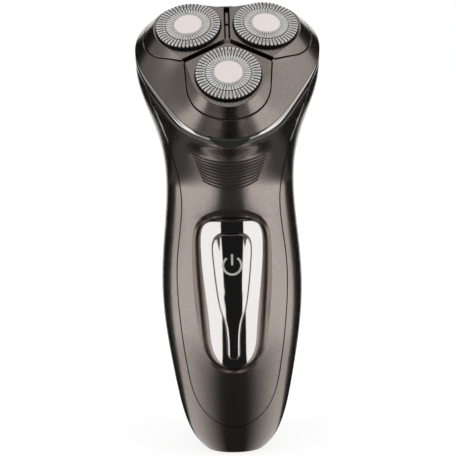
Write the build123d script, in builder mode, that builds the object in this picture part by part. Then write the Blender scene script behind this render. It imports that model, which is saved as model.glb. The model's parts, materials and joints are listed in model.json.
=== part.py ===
from build123d import *
import math
import os

# Electric shaver with three round heads, in millimetres.
# +Z runs up the handle, the front faces -Y, and the origin is the middle of the foot.

# Handle cross-sections from the foot to the chin: height, half width, depth to front and back
FOOT_HALF_WIDTH = 10.0
FOOT_FRONT = 7.6
FOOT_BACK = 8.0
FOOT_ROUND = 1.0
TOE_HEIGHT = 5.0
TOE_HALF_WIDTH = 14.6
TOE_FRONT = 11.4
TOE_BACK = 12.2
HEEL_HEIGHT = 19.0
HEEL_HALF_WIDTH = 19.6
HEEL_FRONT = 16.0
HEEL_BACK = 17.4
BELLY_HEIGHT = 62.0
BELLY_HALF_WIDTH = 25.1
BELLY_FRONT = 20.3
BELLY_BACK = 22.0
WAIST_HEIGHT = 97.0
WAIST_HALF_WIDTH = 22.7
WAIST_FRONT = 19.8
WAIST_BACK = 21.0
SHOULDER_HEIGHT = 113.0
SHOULDER_Y = -1.5
SHOULDER_TILT = 13.0
SHOULDER_HALF_WIDTH = 24.3
SHOULDER_FRONT = 21.4
SHOULDER_BACK = 22.6
SHOULDER_LOBE = 0.3
CHIN_HEIGHT = 125.0
CHIN_Y = -4.0
CHIN_TILT = 26.0
CHIN_HALF_WIDTH = 28.2
CHIN_FRONT = 24.8
CHIN_BACK = 26.4
CHIN_LOBE = 0.75
HANDLE_WALL = 2.0

# Head plane: the parting plane between the flip-up head and the trim ring
HEAD_Y = -8.0
HEAD_Z = 141.4
HEAD_TILT = 38.2
HEAD_HALF_WIDTH = 31.15
HEAD_DEPTH = 31.4
HEAD_WALL = 1.8
LOBE_DEPTH = 0.1226
LOBE_FLATTEN = 0.006
HEAD_TAPER = 0.06
HANDLE_POINTS = 16
HEAD_POINTS = 24

# Dome of the head: height above the parting plane, inset of the lobes there, more inset between them
DOME_PROFILE = [(0, 0, 0), (2.0, 1.5, 0.5), (4.0, 2.95, 1.15), (6.0, 4.4, 1.75), (8.0, 5.9, 2.3),
                (10.0, 7.4, 2.8), (12.2, 9.0, 3.4)]

# Pods and foils
FOIL_CIRCLE = 15.54
FOIL_HEIGHT = 11.55
FOIL_SPLAY = 5.6
FOIL_RADIUS = 11.1
FOIL_PROUD = 1.5
FOIL_TOP = 0.5
FOIL_SKIRT = 4.0
FOIL_SIDE = 0.6
FOIL_ROUND = 0.35
FOIL_FLOAT_GAP = 0.35
FOIL_TAB_WIDTH = 4.0
FOIL_TAB_REACH = 1.0
FOIL_TAB_HEIGHT = 0.6
FOIL_TAB_ANGLES = (-45, 0, 45)
OUTER_SLOTS = 100
OUTER_SLOT_IN = 8.6
OUTER_SLOT_OUT = 10.7
OUTER_SLOT_WIDTH = 0.32
INNER_SLOTS = 48
INNER_SLOT_IN = 5.4
INNER_SLOT_OUT = 7.6
INNER_SLOT_WIDTH = 0.46
TRACK_GROOVE_IN = 7.9
TRACK_GROOVE_OUT = 8.3
TRACK_GROOVE_DEPTH = 0.2
DISC_RADIUS = 4.85
DISC_SEAT = 0.25
DISC_PROUD = 0.25
DISC_ROUND = 0.2
POD_RADIUS = 14.2
POD_SHIFT = 1.6
POD_WALL = 1.0
POD_PLATE = 1.6
POD_SKIN = 0.5
POD_FLOOR = 3.8
POD_DROP = 2.3
SLOT_HALF = 1.0
SLOT_REACH = 17.6
SEAM_GAP = 0.35

# Rotary cutter and its drive socket
CUTTER_GAP = 0.1
CUTTER_RADIUS = 10.1
BLADE_COUNT = 16
BLADE_IN = 5.2
BLADE_OUT = 10.0
BLADE_WIDTH = 0.5
BLADE_HEIGHT = 1.6
CUTTER_DISC = 0.8
CUTTER_HUB_RADIUS = 4.2
CUTTER_HUB_END = 7.0
SOCKET_ROOF = 3.4
SOCKET_FLATS = 5.4
RETAINER_TOP = 5.3
RETAINER_THICK = 0.6
RETAINER_HOLE = 6.0
RETAINER_FIT = 0.1
RETAINER_INNER_EDGE = 11.1

# Pod pivots on the centre hub of the head frame
RIB_HALF = 0.5
RIB_BOTTOM = 2.4
RIB_TOP = 6.0
STRIP_TOP = 8.6
STRIP_IN = 2.0
STRIP_OUT = 16.8
STRIP_NOTCH = 10.4
STRIP_NOTCH_WIDTH = 0.9
HUB_RADIUS = 7.0
HUB_TOP = 5.4
HUB_ROOM = 0.6
PIVOT_OUT = 3.4
PIVOT_HEIGHT = 4.0
PIVOT_RADIUS = 0.8
PIVOT_LENGTH = 7.0
PIVOT_FIT = 0.05
TONGUE_WIDTH = 3.0
TONGUE_IN = 2.0
TONGUE_OUT = 3.5
TONGUE_FOOT_OUT = 5.0
TONGUE_FOOT_TOP = 5.6
TONGUE_BOTTOM = 2.6
TONGUE_GAP = 0.25

# Trim ring, hinge and release button
TRIM_HEIGHT = 4.4
TRIM_WALL = 1.0
TRIM_GAP = 0.15
TRIM_CHAMFER = 0.45
TRIM_REAR = 25.4
HINGE_OUT = 26.0
HINGE_HEIGHT = 0.3
HINGE_RADIUS = 1.6
HINGE_PIN_RADIUS = 0.75
HINGE_FIT = 0.05
HINGE_HALF_WIDTH = 13.0
HINGE_KNUCKLE_IN = 3.0
HINGE_KNUCKLE_OUT = 8.0
HINGE_SIDE_GAP = 0.3
HINGE_BLOCK_TOP = 1.5
HINGE_BLOCK_INSET = 4.0
HINGE_BLOCK_FRONT = 22.0
HINGE_RELIEF = 2.3
WEB_IN = 2.4
WEB_RISE = 2.9
RELEASE_HALF_WIDTH = 6.75
RELEASE_SIDE_DROP = 0.8
RELEASE_TOP_DROP = 0.25
RELEASE_PROUD = 0.7
RELEASE_LENGTH = 4.2
RELEASE_TRAVEL = 1.2
RELEASE_GAP = 0.35
RELEASE_ROUND = 0.4
RELEASE_BOTTOM_LIFT = 0.25
RELEASE_OVERRUN = 2.0

# Drive: deck, gear train, motor
DECK_THICK = 2.0
DECK_INSET = 1.1
SPINDLE_CIRCLE = 15.0
SPINDLE_RADIUS = 1.5
SPINDLE_FIT = 0.05
SPINDLE_TIP = 5.9
SPINDLE_TIP_LENGTH = 2.6
SPINDLE_FLATS = 2.8
SEAL_RADIUS = 3.4
SEAL_HEIGHT = 1.4
GEAR_MODULE = 0.6
GEAR_TEETH = 40
PINION_TEETH = 10
PRESSURE_ANGLE = 25.0
ADDENDUM = 0.8
DEDENDUM = 1.0
BACKLASH = 0.14
GEAR_THICK = 2.4
GEAR_GAP = 0.8
GEAR_WEB_RADIUS = 9.6
GEAR_WEB_CUT = 0.6
PLATE_THICK = 1.8
PLATE_RADIUS = 20.6
POST_CIRCLE = 18.2
POST_RADIUS = 2.2
SCREW_RADIUS = 0.9
SCREW_HEAD_RADIUS = 1.8
SCREW_HEAD_HEIGHT = 1.2
SCREW_LENGTH = 5.0
SCREW_SLOT = 0.5
MOTOR_RADIUS = 9.0
MOTOR_LENGTH = 17.0
MOTOR_ROUND = 1.0
MOTOR_BOSS_RADIUS = 3.0
MOTOR_BOSS_HEIGHT = 1.2
MOTOR_SHAFT_RADIUS = 0.75
MOTOR_TAIL_RADIUS = 3.2
MOTOR_TAIL = 1.4
MOTOR_SCREW_CIRCLE = 6.0
MOTOR_SCREW_RADIUS = 0.7
MOTOR_SCREW_HEAD = 1.3
MOTOR_SCREW_LENGTH = 3.2

# Seam between front cover and rear housing, right half from top to bottom: x, z
SEAM_RIGHT = [(29.5, 140.0), (25.2, 125.0), (20.4, 111.5), (17.2, 96.0), (19.1, 74.0),
              (18.9, 54.0), (16.4, 33.0), (11.2, 18.0)]
SEAM_BOTTOM = 11.7
COVER_GAP = 0.3

# Button recess, plate and power button, seen from the front
# Recess levels: depth from the middle plane, growth to the sides, upwards and downwards
BED_RADIUS = 24.0
BED_FRONT = 16.4
TUB_WALL = 1.8
PLATE_SHEET = 1.0
PLATE_SEAT_GAP = 0.05
RECESS_LEVELS = [(13.4, 0.4, -1.5, -1.0), (17.0, 3.4, 1.2, 0.5), (20.4, 6.4, 6.2, 3.4)]
RECESS_OPEN = 4.0
PANEL_BOTTOM = 34.4
PANEL_LOW = 38.5
PANEL_LOW_HALF = 6.4
PANEL_MID = 48.6
PANEL_MID_HALF = 8.4
PANEL_HIGH = 79.0
PANEL_HIGH_HALF = 10.9
PANEL_TOP = 87.4
PANEL_TOP_FLAT = 0.55
PANEL_LOW_SHARE = 0.8
TUB_SIDE = 5.4
TUB_UP = 8.0
TUB_DOWN = 5.2
BUTTON_BOTTOM = 37.7
BUTTON_FOOT_RADIUS = 2.0
BUTTON_WAIST = 55.0
BUTTON_WAIST_HALF = 4.0
BUTTON_WIDE = 74.0
BUTTON_WIDE_HALF = 6.5
BUTTON_TOP = 83.1
BUTTON_TOP_FLAT = 0.35
BUTTON_GAP = 0.25
BUTTON_PROUD = 1.4
BUTTON_TRAVEL = 0.8
BUTTON_ROUND = 0.6
STEM_RADIUS = 1.6
STEM_GAP = 0.2
MARK_HEIGHT = 72.0
MARK_RADIUS = 3.2
MARK_LINE = 0.75
MARK_OPENING = 36.0
MARK_BAR_TOP = 4.1
MARK_BAR_BOTTOM = 0.2
MARK_PROUD = 0.12

# Grip grooves across the neck
GROOVE_COUNT = 9
GROOVE_LOW = 99.6
GROOVE_PITCH = 1.22
GROOVE_WIDTH = 0.55
GROOVE_DEPTH = 0.35
GROOVE_RISE = 3.0
GROOVE_HALF_LOW = 9.5
GROOVE_HALF_STEP = 0.45

# Electrics inside the handle
CHASSIS_HALF_WIDTH = 10.0
CHASSIS_BOTTOM = 15.0
CHASSIS_TOP = 104.0
CHASSIS_BACK = 2.8
CHASSIS_THICK = 2.0
BOSS_RADIUS = 3.0
BOSS_LOW = 20.0
BOSS_HIGH = 98.0
BOARD_HALF_WIDTH = 9.0
BOARD_BOTTOM = 28.0
BOARD_TOP = 92.0
BOARD_THICK = 1.2
BOARD_STANDOFF = 1.0
STANDOFF_RADIUS = 1.5
STANDOFF_X = 6.5
STANDOFF_MARGIN = 4.0
SWITCH_SIDE = 6.0
SWITCH_HEIGHT = 3.5
PLUNGER_RADIUS = 1.7
PLUNGER_HEIGHT = 0.7
PLUNGER_SPARE = 0.1
BATTERY_RADIUS = 7.0
BATTERY_LENGTH = 50.0
BATTERY_BOTTOM = 26.0
BATTERY_Y = 6.0
BATTERY_NUB_RADIUS = 2.6
BATTERY_NUB = 0.8
CRADLE_THICK = 4.0
CRADLE_INSET = 8.0
CRADLE_FIT = 0.05
TAB_THICK = 0.3
TAB_HALF_WIDTH = 2.5
INLET_HALF_WIDTH = 8.7
INLET_HALF_DEPTH = 5.2
INLET_HEIGHT = 13.0
INLET_WALL = 1.4
INLET_RECESS = 10.6
INLET_FIT = 0.1
INLET_FLANGE = 0.9
INLET_FLANGE_THICK = 1.4
INLET_PIN_RADIUS = 1.15
INLET_PIN_SPACING = 8.6
INLET_PIN_SETBACK = 2.5

REACH = 60.0

SIDES = {"left": 150, "right": 30, "front": 270}
SLOT_ANGLE = 90
HEADS = len(SIDES)
GEAR_TOP = -TRIM_HEIGHT - GEAR_GAP
GEAR_BOTTOM = GEAR_TOP - GEAR_THICK
PLATE_TOP = GEAR_BOTTOM - GEAR_GAP
PLATE_BOTTOM = PLATE_TOP - PLATE_THICK
DECK_TOP = DECK_THICK - TRIM_HEIGHT
BED_Y = BED_RADIUS - BED_FRONT
BUTTON_FACE = BED_RADIUS + PLATE_SHEET + BUTTON_PROUD
BUTTON_BACK = BED_RADIUS + BUTTON_TRAVEL + STEM_GAP
CHASSIS_FRONT = CHASSIS_BACK + CHASSIS_THICK
BOARD_BACK = CHASSIS_FRONT + BOARD_STANDOFF
BOARD_FRONT = BOARD_BACK + BOARD_THICK
SWITCH_FRONT = BOARD_FRONT + SWITCH_HEIGHT
STEM_END = SWITCH_FRONT + PLUNGER_HEIGHT + BUTTON_TRAVEL + PLUNGER_SPARE
FRONT_REACH = HEAD_DEPTH * (1 + LOBE_DEPTH + LOBE_FLATTEN)
SIDE_REACH = HEAD_DEPTH * (1 - LOBE_DEPTH + LOBE_FLATTEN)

os.makedirs("parts", exist_ok=True)


def write(shape, label):
    """Label one finished piece and write its file."""
    shape.label = label
    export_step(shape, f"parts/{label}.step")


def tilted(y, z, angle):
    """Plane across the handle at (0, y, z) whose normal leans to the front by angle."""
    lean = math.radians(angle)
    return Plane(origin=(0, y, z), x_dir=(1, 0, 0), z_dir=(0, -math.sin(lean), math.cos(lean)))


HEAD = tilted(HEAD_Y, HEAD_Z, HEAD_TILT)
COLLAR = HEAD.offset(-TRIM_HEIGHT)
FRONT = Plane.XZ


def ring_face(plane, half_width, front, back, lobe, count):
    """Cross-section of the body: an egg that turns three-sided as lobe goes from 0 to 1."""
    points = []
    for step in range(count):
        angle = math.pi / 2 + math.tau * step / count
        third = 3 * (angle + math.pi / 2)
        swell = 1 + lobe * (LOBE_DEPTH * math.cos(third) + LOBE_FLATTEN * math.cos(2 * third))
        depth = (front + back) / 2 - (front - back) / 2 * math.sin(angle)
        width = half_width * (1 - min(lobe, 1) * HEAD_TAPER * math.sin(angle))
        points.append((width * swell * math.cos(angle), depth * swell * math.sin(angle)))
    with BuildSketch(plane) as ring:
        with BuildLine():
            Spline(*points, periodic=True)
        make_face()
    return ring.sketch.face()


def handle_rings(inset):
    """Cross-sections of the handle from the foot to the collar, drawn in by inset."""
    stations = [
        (Plane.XY.offset(inset), FOOT_HALF_WIDTH + inset, FOOT_FRONT + inset, FOOT_BACK + inset, 0),
        (Plane.XY.offset(TOE_HEIGHT), TOE_HALF_WIDTH, TOE_FRONT, TOE_BACK, 0),
        (Plane.XY.offset(HEEL_HEIGHT), HEEL_HALF_WIDTH, HEEL_FRONT, HEEL_BACK, 0),
        (Plane.XY.offset(BELLY_HEIGHT), BELLY_HALF_WIDTH, BELLY_FRONT, BELLY_BACK, 0),
        (Plane.XY.offset(WAIST_HEIGHT), WAIST_HALF_WIDTH, WAIST_FRONT, WAIST_BACK, 0),
        (tilted(SHOULDER_Y, SHOULDER_HEIGHT, SHOULDER_TILT), SHOULDER_HALF_WIDTH, SHOULDER_FRONT,
         SHOULDER_BACK, SHOULDER_LOBE),
        (tilted(CHIN_Y, CHIN_HEIGHT, CHIN_TILT), CHIN_HALF_WIDTH, CHIN_FRONT, CHIN_BACK, CHIN_LOBE),
        (COLLAR, HEAD_HALF_WIDTH, HEAD_DEPTH, HEAD_DEPTH, 1),
    ]
    faces = []
    for plane, half_width, front, back, lobe in stations:
        faces.append(ring_face(plane, half_width - inset, front - inset, back - inset, lobe, HANDLE_POINTS))
    return faces


def head_ring(height, inset, extra=0):
    """Outline of the head at a height, drawn in by inset, and by extra more between its lobes."""
    front = FRONT_REACH - inset
    side = SIDE_REACH - inset - extra
    depth = (front * (LOBE_DEPTH - LOBE_FLATTEN) + side * (LOBE_DEPTH + LOBE_FLATTEN)) / (2 * LOBE_DEPTH)
    lobe = (front - side) / (2 * LOBE_DEPTH * depth)
    half_width = HEAD_HALF_WIDTH * depth / HEAD_DEPTH
    return ring_face(HEAD.offset(height), half_width, depth, depth, lobe, HEAD_POINTS)


def dome_rings(skin):
    """Outlines up the head's dome, drawn in and down by skin."""
    return [head_ring(height - skin, inset + skin, extra) for height, inset, extra in DOME_PROFILE]


def head_point(out, side, height):
    """Point at a distance out along a pod's direction, as a vector in the part's frame."""
    angle = math.radians(SIDES[side])
    return HEAD.from_local_coords((out * math.cos(angle), out * math.sin(angle), height))


def pod_plane(side):
    """Plane of a foil's top face: x outwards from the head's middle, z along the foil's axis."""
    angle = math.radians(SIDES[side])
    splay = math.radians(FOIL_SPLAY)
    out = HEAD.x_dir * math.cos(angle) + HEAD.y_dir * math.sin(angle)
    axis = HEAD.z_dir * math.cos(splay) + out * math.sin(splay)
    radial = out * math.cos(splay) - HEAD.z_dir * math.sin(splay)
    return Plane(origin=head_point(FOIL_CIRCLE, side, FOIL_HEIGHT), x_dir=radial, z_dir=axis)


def sector_plane(side, height):
    """Plane parallel to the head plane with x outwards along a pod's direction."""
    angle = math.radians(SIDES[side])
    out = HEAD.x_dir * math.cos(angle) + HEAD.y_dir * math.sin(angle)
    return Plane(origin=HEAD.from_local_coords((0, 0, height)), x_dir=out, z_dir=HEAD.z_dir)


def pod_face(plane, grow):
    """Pod outline: straight along its two slots, then round about the foil."""
    half = SLOT_HALF - grow
    radius = POD_RADIUS + grow
    reach = SLOT_REACH + grow
    turn = math.radians(60)
    middle = FOIL_CIRCLE + POD_SHIFT
    apex = half / math.sin(turn)
    corner_x = reach * math.cos(turn) + half * math.sin(turn)
    corner_y = reach * math.sin(turn) - half * math.cos(turn)
    away = math.hypot(corner_x - middle, corner_y)
    lift = math.atan2(corner_y, corner_x - middle) - math.acos(radius / away)
    touch_x = middle + radius * math.cos(lift)
    touch_y = radius * math.sin(lift)
    with BuildSketch(plane) as pod_outline:
        with BuildLine():
            Polyline((touch_x, -touch_y), (corner_x, -corner_y), (apex, 0), (corner_x, corner_y),
                     (touch_x, touch_y))
            ThreePointArc((touch_x, touch_y), (middle + radius, 0), (touch_x, -touch_y))
        make_face()
    return pod_outline.sketch.face()


def seam_face(grow):
    """Outline of the front cover seen from the front, open to the top."""
    right = [(x + grow, z) for x, z in SEAM_RIGHT]
    left = [(-x, z) for x, z in reversed(right)]
    with BuildSketch(FRONT) as seam:
        with BuildLine():
            Spline(*right, (0, SEAM_BOTTOM - grow), *left)
            Line(left[-1], right[0])
        make_face()
    return seam.sketch.face()


def panel_face(plane, side, up, down):
    """Outline of the button panel, grown to the sides, upwards and downwards."""
    high = (PANEL_HIGH_HALF + side, PANEL_HIGH + up / 2)
    middle = (PANEL_MID_HALF + side, PANEL_MID)
    low = (PANEL_LOW_HALF + side * PANEL_LOW_SHARE, PANEL_LOW - down / 2)
    top = PANEL_TOP + up
    corner = (PANEL_HIGH_HALF + side) * PANEL_TOP_FLAT
    with BuildSketch(plane) as panel:
        with BuildLine() as half:
            Line((0, top), (corner, top))
            Spline((corner, top), high, tangents=((1, 0), (0, -1)))
            Spline(high, middle, low, (0, PANEL_BOTTOM - down), tangents=((0, -1), (-1, 0)))
            mirror(half.line, about=Plane.YZ)
        make_face()
    return panel.sketch.face()


def button_face(plane, grow):
    """Teardrop outline of the power button."""
    wide = (BUTTON_WIDE_HALF + grow, BUTTON_WIDE)
    waist = (BUTTON_WAIST_HALF + grow, BUTTON_WAIST)
    foot = (BUTTON_FOOT_RADIUS + grow, BUTTON_BOTTOM + BUTTON_FOOT_RADIUS)
    top = BUTTON_TOP + grow
    corner = BUTTON_WIDE_HALF * BUTTON_TOP_FLAT
    with BuildSketch(plane) as button:
        with BuildLine() as half:
            Line((0, top), (corner, top))
            Spline((corner, top), wide, waist, foot, tangents=((1, 0), (0, -1)))
            JernArc(foot, (0, -1), BUTTON_FOOT_RADIUS + grow, -90)
            mirror(half.line, about=Plane.YZ)
        make_face()
    return button.sketch.face()


def release_face(plane, grow):
    """Lens outline of the release button: flat on top, round below."""
    top = grow - RELEASE_TOP_DROP
    side = RELEASE_HALF_WIDTH + grow
    shoulder = -RELEASE_TOP_DROP - RELEASE_SIDE_DROP
    bottom = RELEASE_BOTTOM_LIFT - TRIM_HEIGHT - grow
    with BuildSketch(plane) as release:
        with BuildLine():
            Polyline((-side, shoulder), (-side, top), (side, top), (side, shoulder))
            ThreePointArc((side, shoulder), (0, bottom), (-side, shoulder))
        make_face()
    return release.sketch.face()


def round_ring(outer, inner):
    """Upright ring about the axis of the round bed, as a face on the floor."""
    with BuildSketch(Plane.XY) as band:
        with Locations((0, BED_Y)):
            Circle(outer)
            if inner > 0:
                Circle(inner, mode=Mode.SUBTRACT)
    return band.sketch.face()


def hinge_plane(across):
    """Plane square to the hinge, with x to the rear and y up from the head plane."""
    origin = HEAD.from_local_coords((across, HINGE_OUT, HINGE_HEIGHT))
    return Plane(origin=origin, x_dir=HEAD.y_dir, z_dir=HEAD.x_dir)


def knuckle_face(across, up):
    """Section of a fixed hinge knuckle with its web reaching down to what carries it."""
    with BuildSketch(hinge_plane(across)) as knuckle:
        Circle(HINGE_RADIUS)
        with Locations((0, up / 2)):
            Rectangle(2 * HINGE_RADIUS, abs(up))
    return knuckle.sketch.face()


def drive_plane(side, height):
    """Plane across a spindle at a height above the parting plane."""
    return Plane(origin=head_point(SPINDLE_CIRCLE, side, height), x_dir=HEAD.x_dir, z_dir=HEAD.z_dir)


def pivot_plane(side):
    """Plane square to a pod's pivot pin, at the pin's middle."""
    angle = math.radians(SIDES[side])
    along = HEAD.y_dir * math.cos(angle) - HEAD.x_dir * math.sin(angle)
    return Plane(origin=head_point(PIVOT_OUT, side, PIVOT_HEIGHT), x_dir=HEAD.z_dir, z_dir=along)


def gear_turn(side):
    """Angle of a gear's tooth that puts a gap opposite the pinion's tooth."""
    pitch = 360 / PINION_TEETH
    offset = (SIDES["front"] - SIDES[side] + pitch / 2) % pitch - pitch / 2
    return SIDES[side] + 180 - offset * PINION_TEETH / GEAR_TEETH + 180 / GEAR_TEETH


def gear_face(plane, teeth, turn):
    """Spur gear with involute flanks, one tooth centred on the angle turn in degrees."""
    pitch = GEAR_MODULE * teeth / 2
    base = pitch * math.cos(math.radians(PRESSURE_ANGLE))
    tip = pitch + ADDENDUM * GEAR_MODULE
    root = pitch - DEDENDUM * GEAR_MODULE
    slope = math.radians(PRESSURE_ANGLE)
    half_at_pitch = math.pi / (2 * teeth) - BACKLASH / 2 / pitch + math.tan(slope) - slope
    flank = []
    for radius in (root, max(root, base), pitch, tip):
        lean = math.acos(min(1, base / radius))
        flank.append((radius, half_at_pitch - math.tan(lean) + lean))
    points = []
    for tooth in range(teeth):
        middle = math.radians(turn) + math.tau * tooth / teeth
        for radius, half in flank:
            points.append((radius * math.cos(middle - half), radius * math.sin(middle - half)))
        for radius, half in reversed(flank):
            points.append((radius * math.cos(middle + half), radius * math.sin(middle + half)))
    kept = [point for index, point in enumerate(points) if math.dist(point, points[index - 1]) > 1e-6]
    with BuildSketch(plane) as gear:
        with BuildLine():
            Polyline(*kept, close=True)
        make_face()
    return gear.sketch.face()


# Solid form of the handle, and the hollow inside it
with BuildPart() as handle_form:
    loft(handle_rings(0))
    fillet(handle_form.edges().group_by(Axis.Z)[0], FOOT_ROUND)

with BuildPart() as handle_hollow:
    loft(handle_rings(HANDLE_WALL))

# The thick tub behind the button panel
with BuildPart() as tub_form:
    extrude(panel_face(FRONT, TUB_SIDE, TUB_UP, TUB_DOWN), amount=REACH)
    extrude(round_ring(BED_RADIUS - TUB_WALL, 0), amount=REACH * 2, mode=Mode.SUBTRACT)

with BuildPart() as cover_hollow:
    add(handle_hollow.part)
    add(tub_form.part, mode=Mode.SUBTRACT)

# The recess that the button plate lies in, with sloping walls and a round bed
with BuildPart() as recess_form:
    outlines = [panel_face(FRONT.offset(level), side, up, down) for level, side, up, down in RECESS_LEVELS]
    loft(outlines, ruled=True)
    extrude(outlines[-1], amount=RECESS_OPEN)
    extrude(round_ring(BED_RADIUS, 0), amount=REACH * 2, mode=Mode.SUBTRACT)


def skin_y(x, z):
    """Where the front of the handle is at a place seen from the front."""
    return handle_form.part.find_intersection_points(Axis((x, -REACH, z), (0, 1, 0)))[0][0].Y


# Grooves across the neck, each with a round floor at an even depth below the surface
with BuildPart() as groove_form:
    for index in range(GROOVE_COUNT):
        low = GROOVE_LOW + GROOVE_PITCH * index
        half = GROOVE_HALF_LOW + GROOVE_HALF_STEP * index
        middle = skin_y(0, low)
        sag = skin_y(half, low + GROOVE_RISE) - middle
        radius = (half ** 2 + sag ** 2) / (2 * sag)
        with BuildSketch(FRONT) as groove:
            with BuildLine() as groove_line:
                ThreePointArc((-half, low + GROOVE_RISE), (0, low), (half, low + GROOVE_RISE))
            trace(groove_line.line, GROOVE_WIDTH)
        with BuildSketch(Plane.XY.offset(low - GROOVE_RISE)) as floor:
            with Locations((0, middle + GROOVE_DEPTH + radius)):
                Circle(radius)
        band = extrude(groove.sketch, amount=REACH, mode=Mode.PRIVATE)
        add(band - extrude(floor.sketch, amount=3 * GROOVE_RISE, mode=Mode.PRIVATE))

with BuildPart() as front_cover:
    add(handle_form.part)
    extrude(seam_face(-COVER_GAP / 2), amount=REACH, mode=Mode.INTERSECT)
    add(recess_form.part, mode=Mode.SUBTRACT)
    add(groove_form.part, mode=Mode.SUBTRACT)
    add(cover_hollow.part, mode=Mode.SUBTRACT)
    with BuildSketch(FRONT) as stem_hole:
        with Locations((0, MARK_HEIGHT)):
            Circle(STEM_RADIUS + STEM_GAP)
    extrude(stem_hole.sketch, amount=REACH, mode=Mode.SUBTRACT)
write(front_cover.part, "front_cover")

with BuildPart() as rear_housing:
    add(handle_form.part)
    add(handle_hollow.part, mode=Mode.SUBTRACT)
    extrude(seam_face(COVER_GAP / 2), amount=REACH, mode=Mode.SUBTRACT)
    for height, back in ((BOSS_LOW, HEEL_BACK), (BOSS_HIGH, WAIST_BACK)):
        with BuildSketch(FRONT.offset(CHASSIS_BACK)) as boss:
            with Locations((0, height)):
                Circle(BOSS_RADIUS)
                Circle(SCREW_RADIUS, mode=Mode.SUBTRACT)
        extrude(boss.sketch, amount=-(CHASSIS_BACK + back - HANDLE_WALL / 2))
    with BuildSketch(Plane.XY) as inlet_hole:
        RectangleRounded(2 * (INLET_HALF_WIDTH + INLET_FIT), 2 * (INLET_HALF_DEPTH + INLET_FIT),
                         INLET_HALF_DEPTH - INLET_WALL)
    extrude(inlet_hole.sketch, amount=HANDLE_WALL, mode=Mode.SUBTRACT)
write(rear_housing.part, "rear_housing")

# Button plate, power button and its mark, all round about the bed's axis
with BuildPart() as button_plate:
    extrude(panel_face(FRONT, 0, 0, 0), amount=REACH)
    sheet = round_ring(BED_RADIUS + PLATE_SHEET, BED_RADIUS + PLATE_SEAT_GAP)
    extrude(sheet, amount=REACH * 2, mode=Mode.INTERSECT)
    extrude(button_face(FRONT, BUTTON_GAP), amount=REACH, mode=Mode.SUBTRACT)
write(button_plate.part, "button_plate")

with BuildPart() as power_button:
    extrude(button_face(FRONT, 0), amount=REACH)
    extrude(round_ring(BUTTON_FACE, BUTTON_BACK), amount=REACH * 2, mode=Mode.INTERSECT)
    fillet(power_button.faces().sort_by(Axis.Y)[0].edges(), BUTTON_ROUND)
    with BuildSketch(FRONT.offset(STEM_END)) as stem:
        with Locations((0, MARK_HEIGHT)):
            Circle(STEM_RADIUS)
    extrude(stem.sketch, amount=BUTTON_BACK - BED_Y + PLATE_SHEET / 2 - STEM_END)
write(power_button.part, "power_button")

with BuildPart() as power_mark:
    with BuildSketch(FRONT) as mark:
        with BuildLine() as mark_arc:
            CenterArc((0, MARK_HEIGHT), MARK_RADIUS, 90 + MARK_OPENING, 360 - 2 * MARK_OPENING)
        trace(mark_arc.line, MARK_LINE)
        with BuildLine() as mark_bar:
            Line((0, MARK_HEIGHT + MARK_BAR_BOTTOM), (0, MARK_HEIGHT + MARK_BAR_TOP))
        trace(mark_bar.line, MARK_LINE)
    extrude(mark.sketch, amount=REACH)
    extrude(round_ring(BUTTON_FACE + MARK_PROUD, BUTTON_FACE), amount=REACH * 2, mode=Mode.INTERSECT)
write(power_mark.part, "power_mark")

# Solid form of the head, before it is hollowed
with BuildPart() as head_form:
    loft(dome_rings(0))

# The head drawn in by a skin's thickness, which bounds what is inside it
with BuildPart() as pod_core:
    loft(dome_rings(POD_SKIN))

with BuildPart() as retainer_core:
    loft(dome_rings(POD_SKIN + RETAINER_FIT))

# Ribs under the three slots and the hub that carries the pods' pivots
with BuildPart() as spider:
    with BuildSketch(HEAD.offset(RIB_BOTTOM)) as ribs:
        with PolarLocations(HEAD_DEPTH / 2, HEADS, start_angle=SLOT_ANGLE):
            Rectangle(HEAD_DEPTH, 2 * RIB_HALF)
    extrude(ribs.sketch, amount=RIB_TOP - RIB_BOTTOM)
    with BuildSketch(HEAD.offset(RIB_BOTTOM)) as strip:
        with Locations((0, STRIP_IN)):
            Rectangle(2 * RIB_HALF, STRIP_OUT - STRIP_IN, align=(Align.CENTER, Align.MIN))
        with Locations((0, STRIP_NOTCH)):
            Rectangle(2 * RIB_HALF, STRIP_NOTCH_WIDTH, mode=Mode.SUBTRACT)
    extrude(strip.sketch, amount=STRIP_TOP - RIB_BOTTOM)
    with BuildSketch(HEAD.offset(RIB_BOTTOM)) as hub:
        Circle(HUB_RADIUS)
        with PolarLocations(TONGUE_IN - TONGUE_GAP + HUB_RADIUS / 2, HEADS, start_angle=SIDES["front"]):
            Rectangle(HUB_RADIUS, TONGUE_WIDTH + 2 * TONGUE_GAP, mode=Mode.SUBTRACT)
    extrude(hub.sketch, amount=HUB_TOP - RIB_BOTTOM)
    for side in SIDES:
        with BuildSketch(pivot_plane(side)) as pivot_hole:
            Circle(PIVOT_RADIUS + PIVOT_FIT / 2)
        extrude(pivot_hole.sketch, amount=PIVOT_LENGTH / 2 + PIVOT_FIT, both=True, mode=Mode.SUBTRACT)
    add(pod_core.part, mode=Mode.INTERSECT)

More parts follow.
